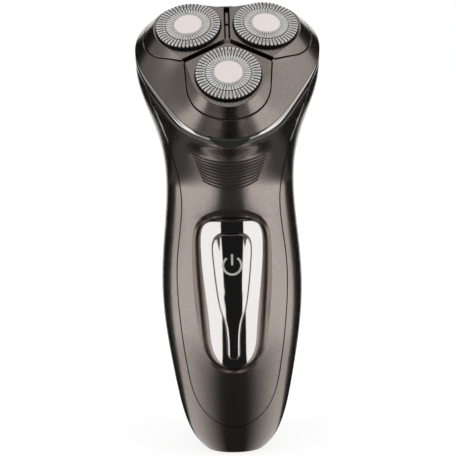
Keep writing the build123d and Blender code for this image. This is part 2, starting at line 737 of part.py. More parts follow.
with BuildPart() as head_frame:
    add(head_form.part)
    loft(dome_rings(HEAD_WALL), mode=Mode.SUBTRACT)
    for side in SIDES:
        extrude(pod_face(sector_plane(side, POD_FLOOR - POD_DROP), SEAM_GAP), amount=REACH, mode=Mode.SUBTRACT)
    with BuildSketch(HEAD.offset(RIB_BOTTOM)) as open_slots:
        with PolarLocations(SLOT_REACH / 2, HEADS, start_angle=SLOT_ANGLE):
            Rectangle(SLOT_REACH, 2 * SLOT_HALF)
    extrude(open_slots.sketch, amount=REACH, mode=Mode.SUBTRACT)
    with BuildSketch(HEAD) as hinge_relief:
        with Locations((0, HINGE_OUT - HINGE_RADIUS - HINGE_SIDE_GAP)):
            Rectangle(2 * (HINGE_HALF_WIDTH + HINGE_SIDE_GAP), REACH, align=(Align.CENTER, Align.MIN))
    extrude(hinge_relief.sketch, amount=HINGE_RELIEF, mode=Mode.SUBTRACT)
    for start in (-HINGE_KNUCKLE_OUT, HINGE_KNUCKLE_IN):
        with BuildSketch(hinge_plane(start)) as head_knuckle:
            Circle(HINGE_RADIUS)
            with BuildLine():
                Polyline((-WEB_IN, HINGE_RADIUS / 2), (-WEB_IN, WEB_RISE), (HINGE_RADIUS / 2, 0), close=True)
            make_face()
        extrude(head_knuckle.sketch, amount=HINGE_KNUCKLE_OUT - HINGE_KNUCKLE_IN)
    with BuildSketch(hinge_plane(-HINGE_HALF_WIDTH)) as hinge_bore:
        Circle(HINGE_PIN_RADIUS + HINGE_FIT)
    extrude(hinge_bore.sketch, amount=2 * HINGE_HALF_WIDTH, mode=Mode.SUBTRACT)
    add(spider.part)
write(head_frame.part, "head_frame")

with BuildPart() as hinge_pin:
    with BuildSketch(hinge_plane(-HINGE_HALF_WIDTH)) as hinge_pin_section:
        Circle(HINGE_PIN_RADIUS)
    extrude(hinge_pin_section.sketch, amount=2 * HINGE_HALF_WIDTH)
write(hinge_pin.part, "hinge_pin")


def make_pod(side):
    """One pod: a thin cap with the foil's opening and a tongue for its pivot."""
    with BuildPart() as pocket:
        extrude(pod_face(sector_plane(side, 0), -POD_WALL), amount=REACH)
        split(bisect_by=pod_plane(side).offset(-FOIL_PROUD - POD_PLATE), keep=Keep.BOTTOM)
        add(pod_core.part, mode=Mode.INTERSECT)
    with BuildPart() as pod:
        add(head_form.part)
        extrude(pod_face(sector_plane(side, POD_FLOOR), 0), amount=REACH, mode=Mode.INTERSECT)
        split(bisect_by=pod_plane(side).offset(-FOIL_PROUD), keep=Keep.BOTTOM)
        add(pocket.part, mode=Mode.SUBTRACT)
        with BuildSketch(pod_plane(side)) as opening:
            Circle(FOIL_RADIUS + FOIL_FLOAT_GAP)
        extrude(opening.sketch, amount=-FOIL_PROUD - POD_PLATE - POD_WALL, mode=Mode.SUBTRACT)
        with BuildSketch(HEAD) as hub_room:
            Circle(HUB_RADIUS + HUB_ROOM)
        extrude(hub_room.sketch, amount=HUB_TOP + HUB_ROOM, mode=Mode.SUBTRACT)
        with BuildSketch(sector_plane(side, TONGUE_BOTTOM)) as tongue:
            with Locations((TONGUE_IN, 0)):
                Rectangle(TONGUE_OUT - TONGUE_IN, TONGUE_WIDTH, align=(Align.MIN, Align.CENTER))
        extrude(tongue.sketch, amount=FOIL_HEIGHT - FOIL_PROUD - TONGUE_BOTTOM)
        with BuildSketch(sector_plane(side, TONGUE_BOTTOM)) as tongue_foot:
            with Locations((TONGUE_IN, 0)):
                Rectangle(TONGUE_FOOT_OUT - TONGUE_IN, TONGUE_WIDTH, align=(Align.MIN, Align.CENTER))
        extrude(tongue_foot.sketch, amount=TONGUE_FOOT_TOP - TONGUE_BOTTOM)
        with BuildSketch(pivot_plane(side)) as bore:
            Circle(PIVOT_RADIUS + PIVOT_FIT)
        extrude(bore.sketch, amount=TONGUE_WIDTH, both=True, mode=Mode.SUBTRACT)
    return pod.part


def make_retainer(side):
    """Plate that closes a pod from below and keeps foil and cutter in it."""
    plane = pod_plane(side)
    with BuildPart() as retainer:
        extrude(pod_face(sector_plane(side, 0), -POD_WALL - RETAINER_FIT), amount=REACH)
        split(bisect_by=plane.offset(-RETAINER_TOP), keep=Keep.BOTTOM)
        split(bisect_by=plane.offset(-RETAINER_TOP - RETAINER_THICK), keep=Keep.TOP)
        add(retainer_core.part, mode=Mode.INTERSECT)
        with BuildSketch(plane) as openings:
            Circle(RETAINER_HOLE)
            with Locations((-RETAINER_INNER_EDGE, 0)):
                Rectangle(RETAINER_INNER_EDGE, REACH, align=(Align.MAX, Align.CENTER))
        extrude(openings.sketch, amount=-REACH, mode=Mode.SUBTRACT)
    return retainer.part


def make_pivot(side):
    """Steel pin that a pod rocks on."""
    with BuildPart() as pivot:
        with BuildSketch(pivot_plane(side)) as section:
            Circle(PIVOT_RADIUS)
        extrude(section.sketch, amount=PIVOT_LENGTH / 2, both=True)
    return pivot.part


# Slotted foil, drawn with its top face on the floor plane
with BuildPart() as foil:
    with BuildSketch(Plane.XY.offset(-FOIL_SKIRT)) as cap:
        Circle(FOIL_RADIUS)
    extrude(cap.sketch, amount=FOIL_SKIRT)
    fillet(foil.edges().group_by(Axis.Z)[-1], FOIL_ROUND)
    with BuildSketch(Plane.XY.offset(-FOIL_SKIRT)) as tabs:
        for angle in FOIL_TAB_ANGLES:
            with PolarLocations(FOIL_RADIUS, 1, start_angle=angle):
                Rectangle(2 * FOIL_TAB_REACH, FOIL_TAB_WIDTH)
    extrude(tabs.sketch, amount=FOIL_TAB_HEIGHT)
    with BuildSketch(Plane.XY.offset(-FOIL_SKIRT)) as cavity:
        Circle(FOIL_RADIUS - FOIL_SIDE)
    extrude(cavity.sketch, amount=FOIL_SKIRT - FOIL_TOP, mode=Mode.SUBTRACT)
    with BuildSketch(Plane.XY) as disc_seat:
        Circle(DISC_RADIUS + CUTTER_GAP / 2)
    extrude(disc_seat.sketch, amount=-DISC_SEAT, mode=Mode.SUBTRACT)
    with BuildSketch(Plane.XY) as track_groove:
        Circle(TRACK_GROOVE_OUT)
        Circle(TRACK_GROOVE_IN, mode=Mode.SUBTRACT)
    extrude(track_groove.sketch, amount=-TRACK_GROOVE_DEPTH, mode=Mode.SUBTRACT)
    with BuildSketch(Plane.XY) as slots:
        with PolarLocations((OUTER_SLOT_IN + OUTER_SLOT_OUT) / 2, OUTER_SLOTS):
            Rectangle(OUTER_SLOT_OUT - OUTER_SLOT_IN, OUTER_SLOT_WIDTH)
        with PolarLocations((INNER_SLOT_IN + INNER_SLOT_OUT) / 2, INNER_SLOTS):
            Rectangle(INNER_SLOT_OUT - INNER_SLOT_IN, INNER_SLOT_WIDTH)
    extrude(slots.sketch, amount=-FOIL_TOP, mode=Mode.SUBTRACT)

with BuildPart() as foil_disc:
    with BuildSketch(Plane.XY.offset(-DISC_SEAT)) as disc_section:
        Circle(DISC_RADIUS)
    extrude(disc_section.sketch, amount=DISC_SEAT + DISC_PROUD)
    fillet(foil_disc.edges().group_by(Axis.Z)[-1], DISC_ROUND)

# Rotary cutter, in the same place under the foil's top face
with BuildPart() as cutter:
    blade_top = -FOIL_TOP - CUTTER_GAP
    with BuildSketch(Plane.XY.offset(blade_top)) as blades:
        with PolarLocations((BLADE_IN + BLADE_OUT) / 2, BLADE_COUNT):
            Rectangle(BLADE_OUT - BLADE_IN, BLADE_WIDTH)
    extrude(blades.sketch, amount=-BLADE_HEIGHT)
    with BuildSketch(Plane.XY.offset(blade_top - BLADE_HEIGHT)) as cutter_disc:
        Circle(CUTTER_RADIUS)
    extrude(cutter_disc.sketch, amount=-CUTTER_DISC)
    with BuildSketch(Plane.XY.offset(-CUTTER_HUB_END)) as cutter_hub:
        Circle(CUTTER_HUB_RADIUS)
    extrude(cutter_hub.sketch, amount=CUTTER_HUB_END + blade_top - BLADE_HEIGHT - CUTTER_DISC / 2)
    with BuildSketch(Plane.XY.offset(-CUTTER_HUB_END)) as socket:
        RegularPolygon(SOCKET_FLATS / 2, 6, major_radius=False)
    extrude(socket.sketch, amount=CUTTER_HUB_END - SOCKET_ROOF, mode=Mode.SUBTRACT)

for side in SIDES:
    place = pod_plane(side).location
    write(make_pod(side), f"pod_{side}")
    write(make_retainer(side), f"retainer_{side}")
    write(make_pivot(side), f"pod_pin_{side}")
    write(foil.part.moved(place), f"foil_{side}")
    write(foil_disc.part.moved(place), f"foil_disc_{side}")
    write(cutter.part.moved(place), f"cutter_{side}")

# Chrome trim round the front and sides, with a window for the release button
RELEASE_PLANE = Plane(origin=HEAD.from_local_coords((0, -FRONT_REACH, 0)), x_dir=HEAD.x_dir, z_dir=-HEAD.y_dir)
PARTING_AXIS = Axis(HEAD.origin, HEAD.z_dir)

with BuildPart() as trim_ring:
    extrude(head_ring(-TRIM_HEIGHT, 0), amount=TRIM_HEIGHT - TRIM_GAP)
    chamfer(trim_ring.edges().sort_by(PARTING_AXIS)[-1], TRIM_CHAMFER)
    extrude(head_ring(-TRIM_HEIGHT, TRIM_WALL), amount=TRIM_HEIGHT, mode=Mode.SUBTRACT)
    with BuildSketch(COLLAR) as rear_gap:
        with Locations((0, TRIM_REAR)):
            Rectangle(2 * REACH, REACH, align=(Align.CENTER, Align.MIN))
    extrude(rear_gap.sketch, amount=TRIM_HEIGHT, mode=Mode.SUBTRACT)
    window = release_face(RELEASE_PLANE, RELEASE_GAP)
    extrude(window, amount=RELEASE_OVERRUN + RELEASE_LENGTH, both=True, mode=Mode.SUBTRACT)
write(trim_ring.part, "trim_ring")

with BuildPart() as release_button:
    extrude(release_face(RELEASE_PLANE.offset(-RELEASE_LENGTH), 0), amount=RELEASE_LENGTH + RELEASE_OVERRUN)
    extrude(head_ring(-TRIM_HEIGHT, -RELEASE_PROUD), amount=TRIM_HEIGHT, mode=Mode.INTERSECT)
    fillet(release_button.faces().sort_by(Axis(HEAD.origin, HEAD.y_dir))[0].edges(), RELEASE_ROUND)
write(release_button.part, "release_button")

# Rear block with the hinge's fixed knuckles: an outer lip and a flange on the deck
with BuildPart() as hinge_lip:
    extrude(head_ring(-TRIM_HEIGHT, 0), amount=TRIM_HEIGHT - HINGE_BLOCK_TOP)
    extrude(head_ring(-TRIM_HEIGHT, TRIM_WALL), amount=DECK_THICK, mode=Mode.SUBTRACT)
    extrude(head_ring(DECK_TOP, HINGE_BLOCK_INSET), amount=TRIM_HEIGHT, mode=Mode.SUBTRACT)
    with BuildSketch(COLLAR) as lip_part:
        with Locations((0, TRIM_REAR + TRIM_GAP)):
            Rectangle(2 * REACH, REACH, align=(Align.CENTER, Align.MIN))
    extrude(lip_part.sketch, amount=TRIM_HEIGHT, mode=Mode.INTERSECT)

with BuildPart() as hinge_block:
    extrude(head_ring(DECK_TOP, TRIM_WALL + TRIM_GAP), amount=-DECK_TOP - HINGE_BLOCK_TOP)
    extrude(head_ring(DECK_TOP, HINGE_BLOCK_INSET), amount=TRIM_HEIGHT, mode=Mode.SUBTRACT)
    with BuildSketch(HEAD.offset(DECK_TOP)) as flange_part:
        with Locations((0, HINGE_BLOCK_FRONT)):
            Rectangle(2 * REACH, REACH, align=(Align.CENTER, Align.MIN))
    extrude(flange_part.sketch, amount=TRIM_HEIGHT, mode=Mode.INTERSECT)
    add(hinge_lip.part)
    web = -HINGE_HEIGHT - HINGE_BLOCK_TOP - TRIM_GAP
    inner = HINGE_KNUCKLE_IN - HINGE_SIDE_GAP
    outer = HINGE_KNUCKLE_OUT + HINGE_SIDE_GAP
    for start, length in ((-inner, 2 * inner), (-HINGE_HALF_WIDTH, HINGE_HALF_WIDTH - outer),
                          (outer, HINGE_HALF_WIDTH - outer)):
        extrude(knuckle_face(start, web), amount=length)
    with BuildSketch(hinge_plane(-HINGE_HALF_WIDTH)) as pin_hole:
        Circle(HINGE_PIN_RADIUS)
    extrude(pin_hole.sketch, amount=2 * HINGE_HALF_WIDTH, mode=Mode.SUBTRACT)
write(hinge_block.part, "hinge_block")

# Sealed deck under the head
with BuildPart() as drive_deck:
    extrude(head_ring(-TRIM_HEIGHT, DECK_INSET), amount=DECK_THICK)
    with BuildSketch(COLLAR) as deck_holes:
        with PolarLocations(SPINDLE_CIRCLE, HEADS, start_angle=SIDES["front"]):
            Circle(SPINDLE_RADIUS + SPINDLE_FIT)
        with PolarLocations(POST_CIRCLE, HEADS, start_angle=SLOT_ANGLE):
            Circle(SCREW_RADIUS)
    extrude(deck_holes.sketch, amount=DECK_THICK, mode=Mode.SUBTRACT)
    notch = RELEASE_LENGTH + RELEASE_TRAVEL + RELEASE_GAP
    extrude(release_face(RELEASE_PLANE, RELEASE_GAP), amount=-notch, mode=Mode.SUBTRACT)
write(drive_deck.part, "drive_deck")

with BuildPart() as spindle_seals:
    with BuildSketch(HEAD.offset(DECK_TOP)) as seal_section:
        with PolarLocations(SPINDLE_CIRCLE, HEADS, start_angle=SIDES["front"]):
            Circle(SEAL_RADIUS)
            Circle(SPINDLE_RADIUS + SPINDLE_FIT, mode=Mode.SUBTRACT)
    extrude(seal_section.sketch, amount=SEAL_HEIGHT)
write(spindle_seals.part, "spindle_seals")

with BuildPart() as deck_screws:
    with BuildSketch(HEAD.offset(DECK_TOP)) as screw_heads:
        with PolarLocations(POST_CIRCLE, HEADS, start_angle=SLOT_ANGLE):
            Circle(SCREW_HEAD_RADIUS)
    extrude(screw_heads.sketch, amount=SCREW_HEAD_HEIGHT)
    with BuildSketch(HEAD.offset(DECK_TOP)) as screw_shanks:
        with PolarLocations(POST_CIRCLE, HEADS, start_angle=SLOT_ANGLE):
            Circle(SCREW_RADIUS)
    extrude(screw_shanks.sketch, amount=-SCREW_LENGTH)
    with BuildSketch(HEAD.offset(DECK_TOP + SCREW_HEAD_HEIGHT)) as screw_slots:
        with PolarLocations(POST_CIRCLE, HEADS, start_angle=SLOT_ANGLE):
            Rectangle(2 * SCREW_HEAD_RADIUS, SCREW_SLOT)
    extrude(screw_slots.sketch, amount=-SCREW_SLOT, mode=Mode.SUBTRACT)
write(deck_screws.part, "deck_screws")

# Gear plate under the gears, hung from the deck on three posts
with BuildPart() as gear_plate:
    with BuildSketch(HEAD.offset(PLATE_BOTTOM)) as plate_section:
        Circle(PLATE_RADIUS)
        Circle(MOTOR_BOSS_RADIUS, mode=Mode.SUBTRACT)
        with PolarLocations(SPINDLE_CIRCLE, HEADS, start_angle=SIDES["front"]):
            Circle(SPINDLE_RADIUS + SPINDLE_FIT, mode=Mode.SUBTRACT)
        with PolarLocations(MOTOR_SCREW_CIRCLE, 2):
            Circle(MOTOR_SCREW_RADIUS, mode=Mode.SUBTRACT)
    extrude(plate_section.sketch, amount=PLATE_THICK)
    with BuildSketch(HEAD.offset(PLATE_TOP)) as screw_sinks:
        with PolarLocations(MOTOR_SCREW_CIRCLE, 2):
            Circle(MOTOR_SCREW_HEAD)
    extrude(screw_sinks.sketch, amount=-PLATE_THICK / 2, mode=Mode.SUBTRACT)
    with BuildSketch(HEAD.offset(PLATE_TOP)) as posts:
        with PolarLocations(POST_CIRCLE, HEADS, start_angle=SLOT_ANGLE):
            Circle(POST_RADIUS)
    extrude(posts.sketch, amount=-TRIM_HEIGHT - PLATE_TOP)
    with BuildSketch(COLLAR) as post_holes:
        with PolarLocations(POST_CIRCLE, HEADS, start_angle=SLOT_ANGLE):
            Circle(SCREW_RADIUS)
    extrude(post_holes.sketch, amount=DECK_THICK - SCREW_LENGTH, mode=Mode.SUBTRACT)
write(gear_plate.part, "gear_plate")


def make_gear(side):
    """Driven gear, with a thinner web inside its rim."""
    with BuildPart() as gear:
        extrude(gear_face(drive_plane(side, GEAR_BOTTOM), GEAR_TEETH, gear_turn(side)), amount=GEAR_THICK)
        with BuildSketch(drive_plane(side, GEAR_TOP)) as web:
            Circle(GEAR_WEB_RADIUS)
            Circle(2 * SPINDLE_RADIUS, mode=Mode.SUBTRACT)
        extrude(web.sketch, amount=-GEAR_WEB_CUT, mode=Mode.SUBTRACT)
        with BuildSketch(drive_plane(side, GEAR_BOTTOM)) as bore:
            Circle(SPINDLE_RADIUS)
        extrude(bore.sketch, amount=GEAR_THICK, mode=Mode.SUBTRACT)
    return gear.part


def make_spindle(side):
    """Drive spindle: a round shaft with a six-sided tip for the cutter's socket."""
    with BuildPart() as spindle:
        with BuildSketch(drive_plane(side, PLATE_BOTTOM)) as shaft:
            Circle(SPINDLE_RADIUS)
        extrude(shaft.sketch, amount=SPINDLE_TIP - SPINDLE_TIP_LENGTH - PLATE_BOTTOM)
        with BuildSketch(drive_plane(side, SPINDLE_TIP)) as tip:
            RegularPolygon(SPINDLE_FLATS / 2, 6, major_radius=False)
        extrude(tip.sketch, amount=-SPINDLE_TIP_LENGTH)
    return spindle.part


for side in SIDES:
    write(make_gear(side), f"gear_{side}")
    write(make_spindle(side), f"spindle_{side}")

with BuildPart() as motor_body:
    with BuildSketch(HEAD.offset(PLATE_BOTTOM)) as can:
        Circle(MOTOR_RADIUS)
    extrude(can.sketch, amount=-MOTOR_LENGTH)
    fillet(motor_body.edges().filter_by(GeomType.CIRCLE), MOTOR_ROUND)
    with BuildSketch(HEAD.offset(PLATE_BOTTOM)) as front_boss:
        Circle(MOTOR_BOSS_RADIUS)
    extrude(front_boss.sketch, amount=MOTOR_BOSS_HEIGHT)
    with BuildSketch(HEAD.offset(PLATE_BOTTOM - MOTOR_LENGTH)) as tail_boss:
        Circle(MOTOR_TAIL_RADIUS)
    extrude(tail_boss.sketch, amount=-MOTOR_TAIL)
    with BuildSketch(HEAD.offset(PLATE_BOTTOM)) as shaft_bore:
        Circle(MOTOR_SHAFT_RADIUS + SPINDLE_FIT)
    extrude(shaft_bore.sketch, amount=MOTOR_LENGTH / 2, both=True, mode=Mode.SUBTRACT)
    with BuildSketch(HEAD.offset(PLATE_BOTTOM)) as motor_threads:
        with PolarLocations(MOTOR_SCREW_CIRCLE, 2):
            Circle(MOTOR_SCREW_RADIUS)
    extrude(motor_threads.sketch, amount=-MOTOR_SCREW_LENGTH, mode=Mode.SUBTRACT)
write(motor_body.part, "motor_body")

with BuildPart() as motor_screws:
    with BuildSketch(HEAD.offset(PLATE_TOP - PLATE_THICK / 2)) as motor_screw_heads:
        with PolarLocations(MOTOR_SCREW_CIRCLE, 2):
            Circle(MOTOR_SCREW_HEAD)
    extrude(motor_screw_heads.sketch, amount=PLATE_THICK / 2)
    with BuildSketch(HEAD.offset(PLATE_TOP)) as motor_screw_shanks:
        with PolarLocations(MOTOR_SCREW_CIRCLE, 2):
            Circle(MOTOR_SCREW_RADIUS)
    extrude(motor_screw_shanks.sketch, amount=-MOTOR_SCREW_LENGTH - PLATE_THICK / 2)
write(motor_screws.part, "motor_screws")

with BuildPart() as motor_pinion:
    with BuildSketch(HEAD.offset(PLATE_BOTTOM - MOTOR_LENGTH / 4)) as motor_shaft:
        Circle(MOTOR_SHAFT_RADIUS)
    extrude(motor_shaft.sketch, amount=GEAR_TOP - PLATE_BOTTOM + MOTOR_LENGTH / 4)
    extrude(gear_face(HEAD.offset(GEAR_BOTTOM), PINION_TEETH, SIDES["front"]), amount=GEAR_THICK)
write(motor_pinion.part, "motor_pinion")

# Chassis between battery and circuit board, screwed to the rear housing
with BuildPart() as chassis:
    with BuildSketch(FRONT.offset(CHASSIS_BACK)) as chassis_section:
        with Locations((0, CHASSIS_BOTTOM)):
            Rectangle(2 * CHASSIS_HALF_WIDTH, CHASSIS_TOP - CHASSIS_BOTTOM, align=(Align.CENTER, Align.MIN))
        with Locations((0, BOSS_LOW), (0, BOSS_HIGH)):
            Circle(SCREW_RADIUS, mode=Mode.SUBTRACT)
    extrude(chassis_section.sketch, amount=CHASSIS_THICK)
    with BuildSketch(FRONT.offset(CHASSIS_FRONT)) as standoffs:
        for height in (BOARD_BOTTOM + STANDOFF_MARGIN, BOARD_TOP - STANDOFF_MARGIN):
            with Locations((-STANDOFF_X, height), (STANDOFF_X, height)):
                Circle(STANDOFF_RADIUS)
    extrude(standoffs.sketch, amount=BOARD_STANDOFF)
    for height in (BATTERY_BOTTOM + CRADLE_INSET, BATTERY_BOTTOM + BATTERY_LENGTH - CRADLE_INSET):
        with BuildSketch(Plane.XY.offset(height - CRADLE_THICK / 2)) as cradle:
            with Locations((0, -CHASSIS_BACK)):
                Rectangle(2 * (BATTERY_RADIUS + CHASSIS_THICK), BATTERY_Y + CHASSIS_BACK,
                          align=(Align.CENTER, Align.MIN))
            with Locations((0, BATTERY_Y)):
                Circle(BATTERY_RADIUS + CRADLE_FIT, mode=Mode.SUBTRACT)
        extrude(cradle.sketch, amount=CRADLE_THICK)
write(chassis.part, "chassis")

with BuildPart() as chassis_screws:
    with BuildSketch(FRONT.offset(CHASSIS_FRONT)) as chassis_screw_heads:
        with Locations((0, BOSS_LOW), (0, BOSS_HIGH)):
            Circle(SCREW_HEAD_RADIUS)
    extrude(chassis_screw_heads.sketch, amount=SCREW_HEAD_HEIGHT)
    with BuildSketch(FRONT.offset(CHASSIS_FRONT)) as chassis_screw_shanks:
        with Locations((0, BOSS_LOW), (0, BOSS_HIGH)):
            Circle(SCREW_RADIUS)
    extrude(chassis_screw_shanks.sketch, amount=-SCREW_LENGTH)
write(chassis_screws.part, "chassis_screws")

with BuildPart() as circuit_board:
    with BuildSketch(FRONT.offset(BOARD_BACK)) as board_section:
        with Locations((0, BOARD_BOTTOM)):
            Rectangle(2 * BOARD_HALF_WIDTH, BOARD_TOP - BOARD_BOTTOM, align=(Align.CENTER, Align.MIN))
    extrude(board_section.sketch, amount=BOARD_THICK)
write(circuit_board.part, "circuit_board")

with BuildPart() as tact_switch:
    with BuildSketch(FRONT.offset(BOARD_FRONT)) as switch_section:
        with Locations((0, MARK_HEIGHT)):
            Rectangle(SWITCH_SIDE, SWITCH_SIDE)
    extrude(switch_section.sketch, amount=SWITCH_HEIGHT)
    with BuildSketch(FRONT.offset(SWITCH_FRONT)) as plunger:
        with Locations((0, MARK_HEIGHT)):
            Circle(PLUNGER_RADIUS)
    extrude(plunger.sketch, amount=PLUNGER_HEIGHT)
write(tact_switch.part, "tact_switch")

with BuildPart() as battery:
    with BuildSketch(Plane.XY.offset(BATTERY_BOTTOM)) as cell:
        with Locations((0, BATTERY_Y)):
            Circle(BATTERY_RADIUS)
    extrude(cell.sketch, amount=BATTERY_LENGTH)
    with BuildSketch(Plane.XY.offset(BATTERY_BOTTOM + BATTERY_LENGTH)) as nub:
        with Locations((0, BATTERY_Y)):
            Circle(BATTERY_NUB_RADIUS)
    extrude(nub.sketch, amount=BATTERY_NUB)
write(battery.part, "battery")

# Metal tabs on the two ends of the cell, reaching to the chassis
with BuildPart() as battery_tabs:
    for height in (BATTERY_BOTTOM - TAB_THICK, BATTERY_BOTTOM + BATTERY_LENGTH + BATTERY_NUB):
        with BuildSketch(Plane.XY.offset(height)) as tab:
            with Locations((0, -CHASSIS_BACK)):
                Rectangle(2 * TAB_HALF_WIDTH, BATTERY_Y + CHASSIS_BACK + TAB_HALF_WIDTH,
                          align=(Align.CENTER, Align.MIN))
        extrude(tab.sketch, amount=TAB_THICK)
write(battery_tabs.part, "battery_tabs")

# Two-pin charging inlet in the foot
with BuildPart() as inlet_body:
    with BuildSketch(Plane.XY) as inlet_section:
        RectangleRounded(2 * INLET_HALF_WIDTH, 2 * INLET_HALF_DEPTH, INLET_HALF_DEPTH - INLET_WALL)
    extrude(inlet_section.sketch, amount=INLET_HEIGHT)
    with BuildSketch(Plane.XY.offset(HANDLE_WALL)) as inlet_flange:
        RectangleRounded(2 * (INLET_HALF_WIDTH + INLET_FLANGE), 2 * (INLET_HALF_DEPTH + INLET_FLANGE),
                         INLET_HALF_DEPTH)
    extrude(inlet_flange.sketch, amount=INLET_FLANGE_THICK)
    with BuildSketch(Plane.XY) as inlet_recess:
        SlotOverall(2 * (INLET_HALF_WIDTH - INLET_WALL), 2 * (INLET_HALF_DEPTH - INLET_WALL))
    extrude(inlet_recess.sketch, amount=INLET_RECESS, mode=Mode.SUBTRACT)
    with BuildSketch(Plane.XY.offset(INLET_RECESS)) as pin_holes:
        with GridLocations(INLET_PIN_SPACING, 0, 2, 1):
            Circle(INLET_PIN_RADIUS)
    extrude(pin_holes.sketch, amount=INLET_HEIGHT - INLET_RECESS, mode=Mode.SUBTRACT)
write(inlet_body.part, "inlet_body")

with BuildPart() as inlet_pins:
    with BuildSketch(Plane.XY.offset(INLET_PIN_SETBACK)) as pin_section:
        with GridLocations(INLET_PIN_SPACING, 0, 2, 1):
            Circle(INLET_PIN_RADIUS)
    extrude(pin_section.sketch, amount=INLET_HEIGHT - INLET_PIN_SETBACK)
write(inlet_pins.part, "inlet_pins")
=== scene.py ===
import json
import math

import bpy
from mathutils import Matrix, Vector


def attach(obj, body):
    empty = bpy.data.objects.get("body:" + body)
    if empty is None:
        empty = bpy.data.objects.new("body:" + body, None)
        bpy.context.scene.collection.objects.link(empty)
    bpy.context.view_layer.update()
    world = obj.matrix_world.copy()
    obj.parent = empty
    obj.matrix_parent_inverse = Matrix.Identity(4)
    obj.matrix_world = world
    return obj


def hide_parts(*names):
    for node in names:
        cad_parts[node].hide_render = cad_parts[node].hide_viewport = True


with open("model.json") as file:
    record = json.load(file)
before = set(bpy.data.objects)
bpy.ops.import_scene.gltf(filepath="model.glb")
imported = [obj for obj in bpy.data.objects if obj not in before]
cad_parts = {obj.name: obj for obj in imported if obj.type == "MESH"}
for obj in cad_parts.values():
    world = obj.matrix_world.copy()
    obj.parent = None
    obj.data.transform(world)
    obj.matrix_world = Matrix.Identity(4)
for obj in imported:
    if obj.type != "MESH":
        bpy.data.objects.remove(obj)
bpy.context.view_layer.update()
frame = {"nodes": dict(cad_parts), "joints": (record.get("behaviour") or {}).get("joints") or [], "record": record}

bl_info = {
    "name": "Rotary shaver",
    "version": (1, 0, 0),
    "blender": (4, 5, 0),
    "location": "View3D > Sidebar > Shaver",
    "description": "Dresses the solids of a three-headed shaver with finishes, small detail and a studio",
    "category": "Object",
}

MM = 0.001
SIDES = ("left", "right", "front")
BODY_OF = {node: body for body, members in frame["record"]["behaviour"]["bodies"].items() for node in members}
JOINTS = {joint["name"]: joint for joint in frame["joints"]}

# Edges flatter than this are shaded smooth on the copies
SMOOTH_ANGLE = math.radians(28)

# Head plane, from the record: the motor's axis stands square on it
HEAD_ORIGIN = Vector(JOINTS["motor_spin"]["pos_m"])
HEAD_UP = Vector(JOINTS["motor_spin"]["axis"]).normalized()

# Lean of the trim band's normal towards the head's axis, at its lower and upper edge
CROWN_LEAN = (-0.3, 1.1)

# Painted shade in the slots of the foils: number, radii in millimetres and shaded share of the pitch. They are
# drawn longer than they are cut, and in the outer ring wider and only every second one, because the cuts are too
# fine to show
PAINTED_SLOT_RINGS = ((50, (7.95, 11.2), 0.42), (48, (4.9, 7.7), 0.46))

# Blur of the slots' sides, as a share of the pitch, and of their ends, in millimetres
SLOT_SIDE_BLUR = 0.03
SLOT_END_BLUR = 0.08

# Painted shade of the groove between the two rings of slots, and the blur of its edges and of the painted shade on
# the skirt, in millimetres
PAINTED_GROOVE_RING = (7.73, 7.97)
GROOVE_BLUR = 0.04
SKIRT_BLUR = 0.1

# A wave texture runs through this many radians in one unit, at a scale of 1
WAVE_RATE = 20

# Camera, fitted to the photograph
CAMERA_TARGET = Vector((0, 0, 0.079))
CAMERA_DISTANCE = 0.7
CAMERA_AZIMUTH = math.radians(-0.487)
CAMERA_ELEVATION = math.radians(12)
CAMERA_ROLL = math.radians(1.192)
CAMERA_LENS = 154.67
CAMERA_SENSOR = 36
CAMERA_SHIFT = (-0.0068, 0.0149)
CAMERA_CLIP = 0.01

# Lamps: name, place, width and height in metres, and brightness per area
LAMP_TARGET = (0, 0, 0.09)
LAMPS = (
    ("softbox_left", (-0.62, -0.35, 0.35), (0.35, 0.7), 1.6),
    ("softbox_right", (0.62, -0.35, 0.35), (0.35, 0.7), 2.0),
    ("top_fill", (0, -0.2, 0.9), (0.8, 0.8), 1.35),
)
AMBIENT = 0.35

# Floor in metres: its size, and the ring around the foot in which its glow rises from a painted shade to full
# white, with the painted level at the foot
FLOOR_SIZE = 6.0
PAINTED_SHADE_RING = (0.03, 0.16)
PAINTED_SHADE_LEVEL = 0.92

# Greys of the studio cards in reflections, where 1 is white
BLACK = 0.012
FOOT_BLACK = 0.03
FOOT_SHADE = 0.8
FOOT_CLEAR = 0.95
COLLAR_GREY = 0.06
CHARCOAL = 0.1
ROOF_GREY = 0.5
CHEEK_GREYS = {-1: 0.25, 1: 0.7}

# Outlines and heights of the studio cards, in metres. Upright ones stand between two points of the floor
CARD_TOP = 0.6
FLOOR_LIFT = 0.0005
FRONT_CARD = ((-0.075, -0.25), (0.09, -0.25))
FRONT_STRIP = ((0.042, -0.10), (0.055, -0.15), (0.10, -0.25),
               (-0.08, -0.25), (-0.048, -0.15), (-0.038, -0.10))
FOOT_CARD = ((-0.12, 0.06), (0.12, 0.06), (0.12, -0.12), (-0.12, -0.12))
BROW_CARD = ((-0.45, -0.3), (0.32, -0.3))
BROW_BOTTOM = 0.045
NECK_CARD = ((-0.08, 0.005), (0.08, 0.005), (0.08, -0.085), (-0.08, -0.085))
NECK_HEIGHT = 0.098
COLLAR_HEIGHT = 0.088
FLANK_CARD = ((0.386, 0.104), (0.2, 0.346))
FLANK_STRIP = ((0.030, 0.008), (0.386, 0.104), (0.2, 0.346), (0.020, 0.035))
CHEEK_CARD = ((0.5, -0.12), (0.5, 0.14))
CHEEK_BOTTOM = 0.05
ROOF_CARD = ((-0.8, -0.8), (0.8, -0.8), (0.8, 0.8), (-0.8, 0.8))
ROOF_HEIGHT = 0.8

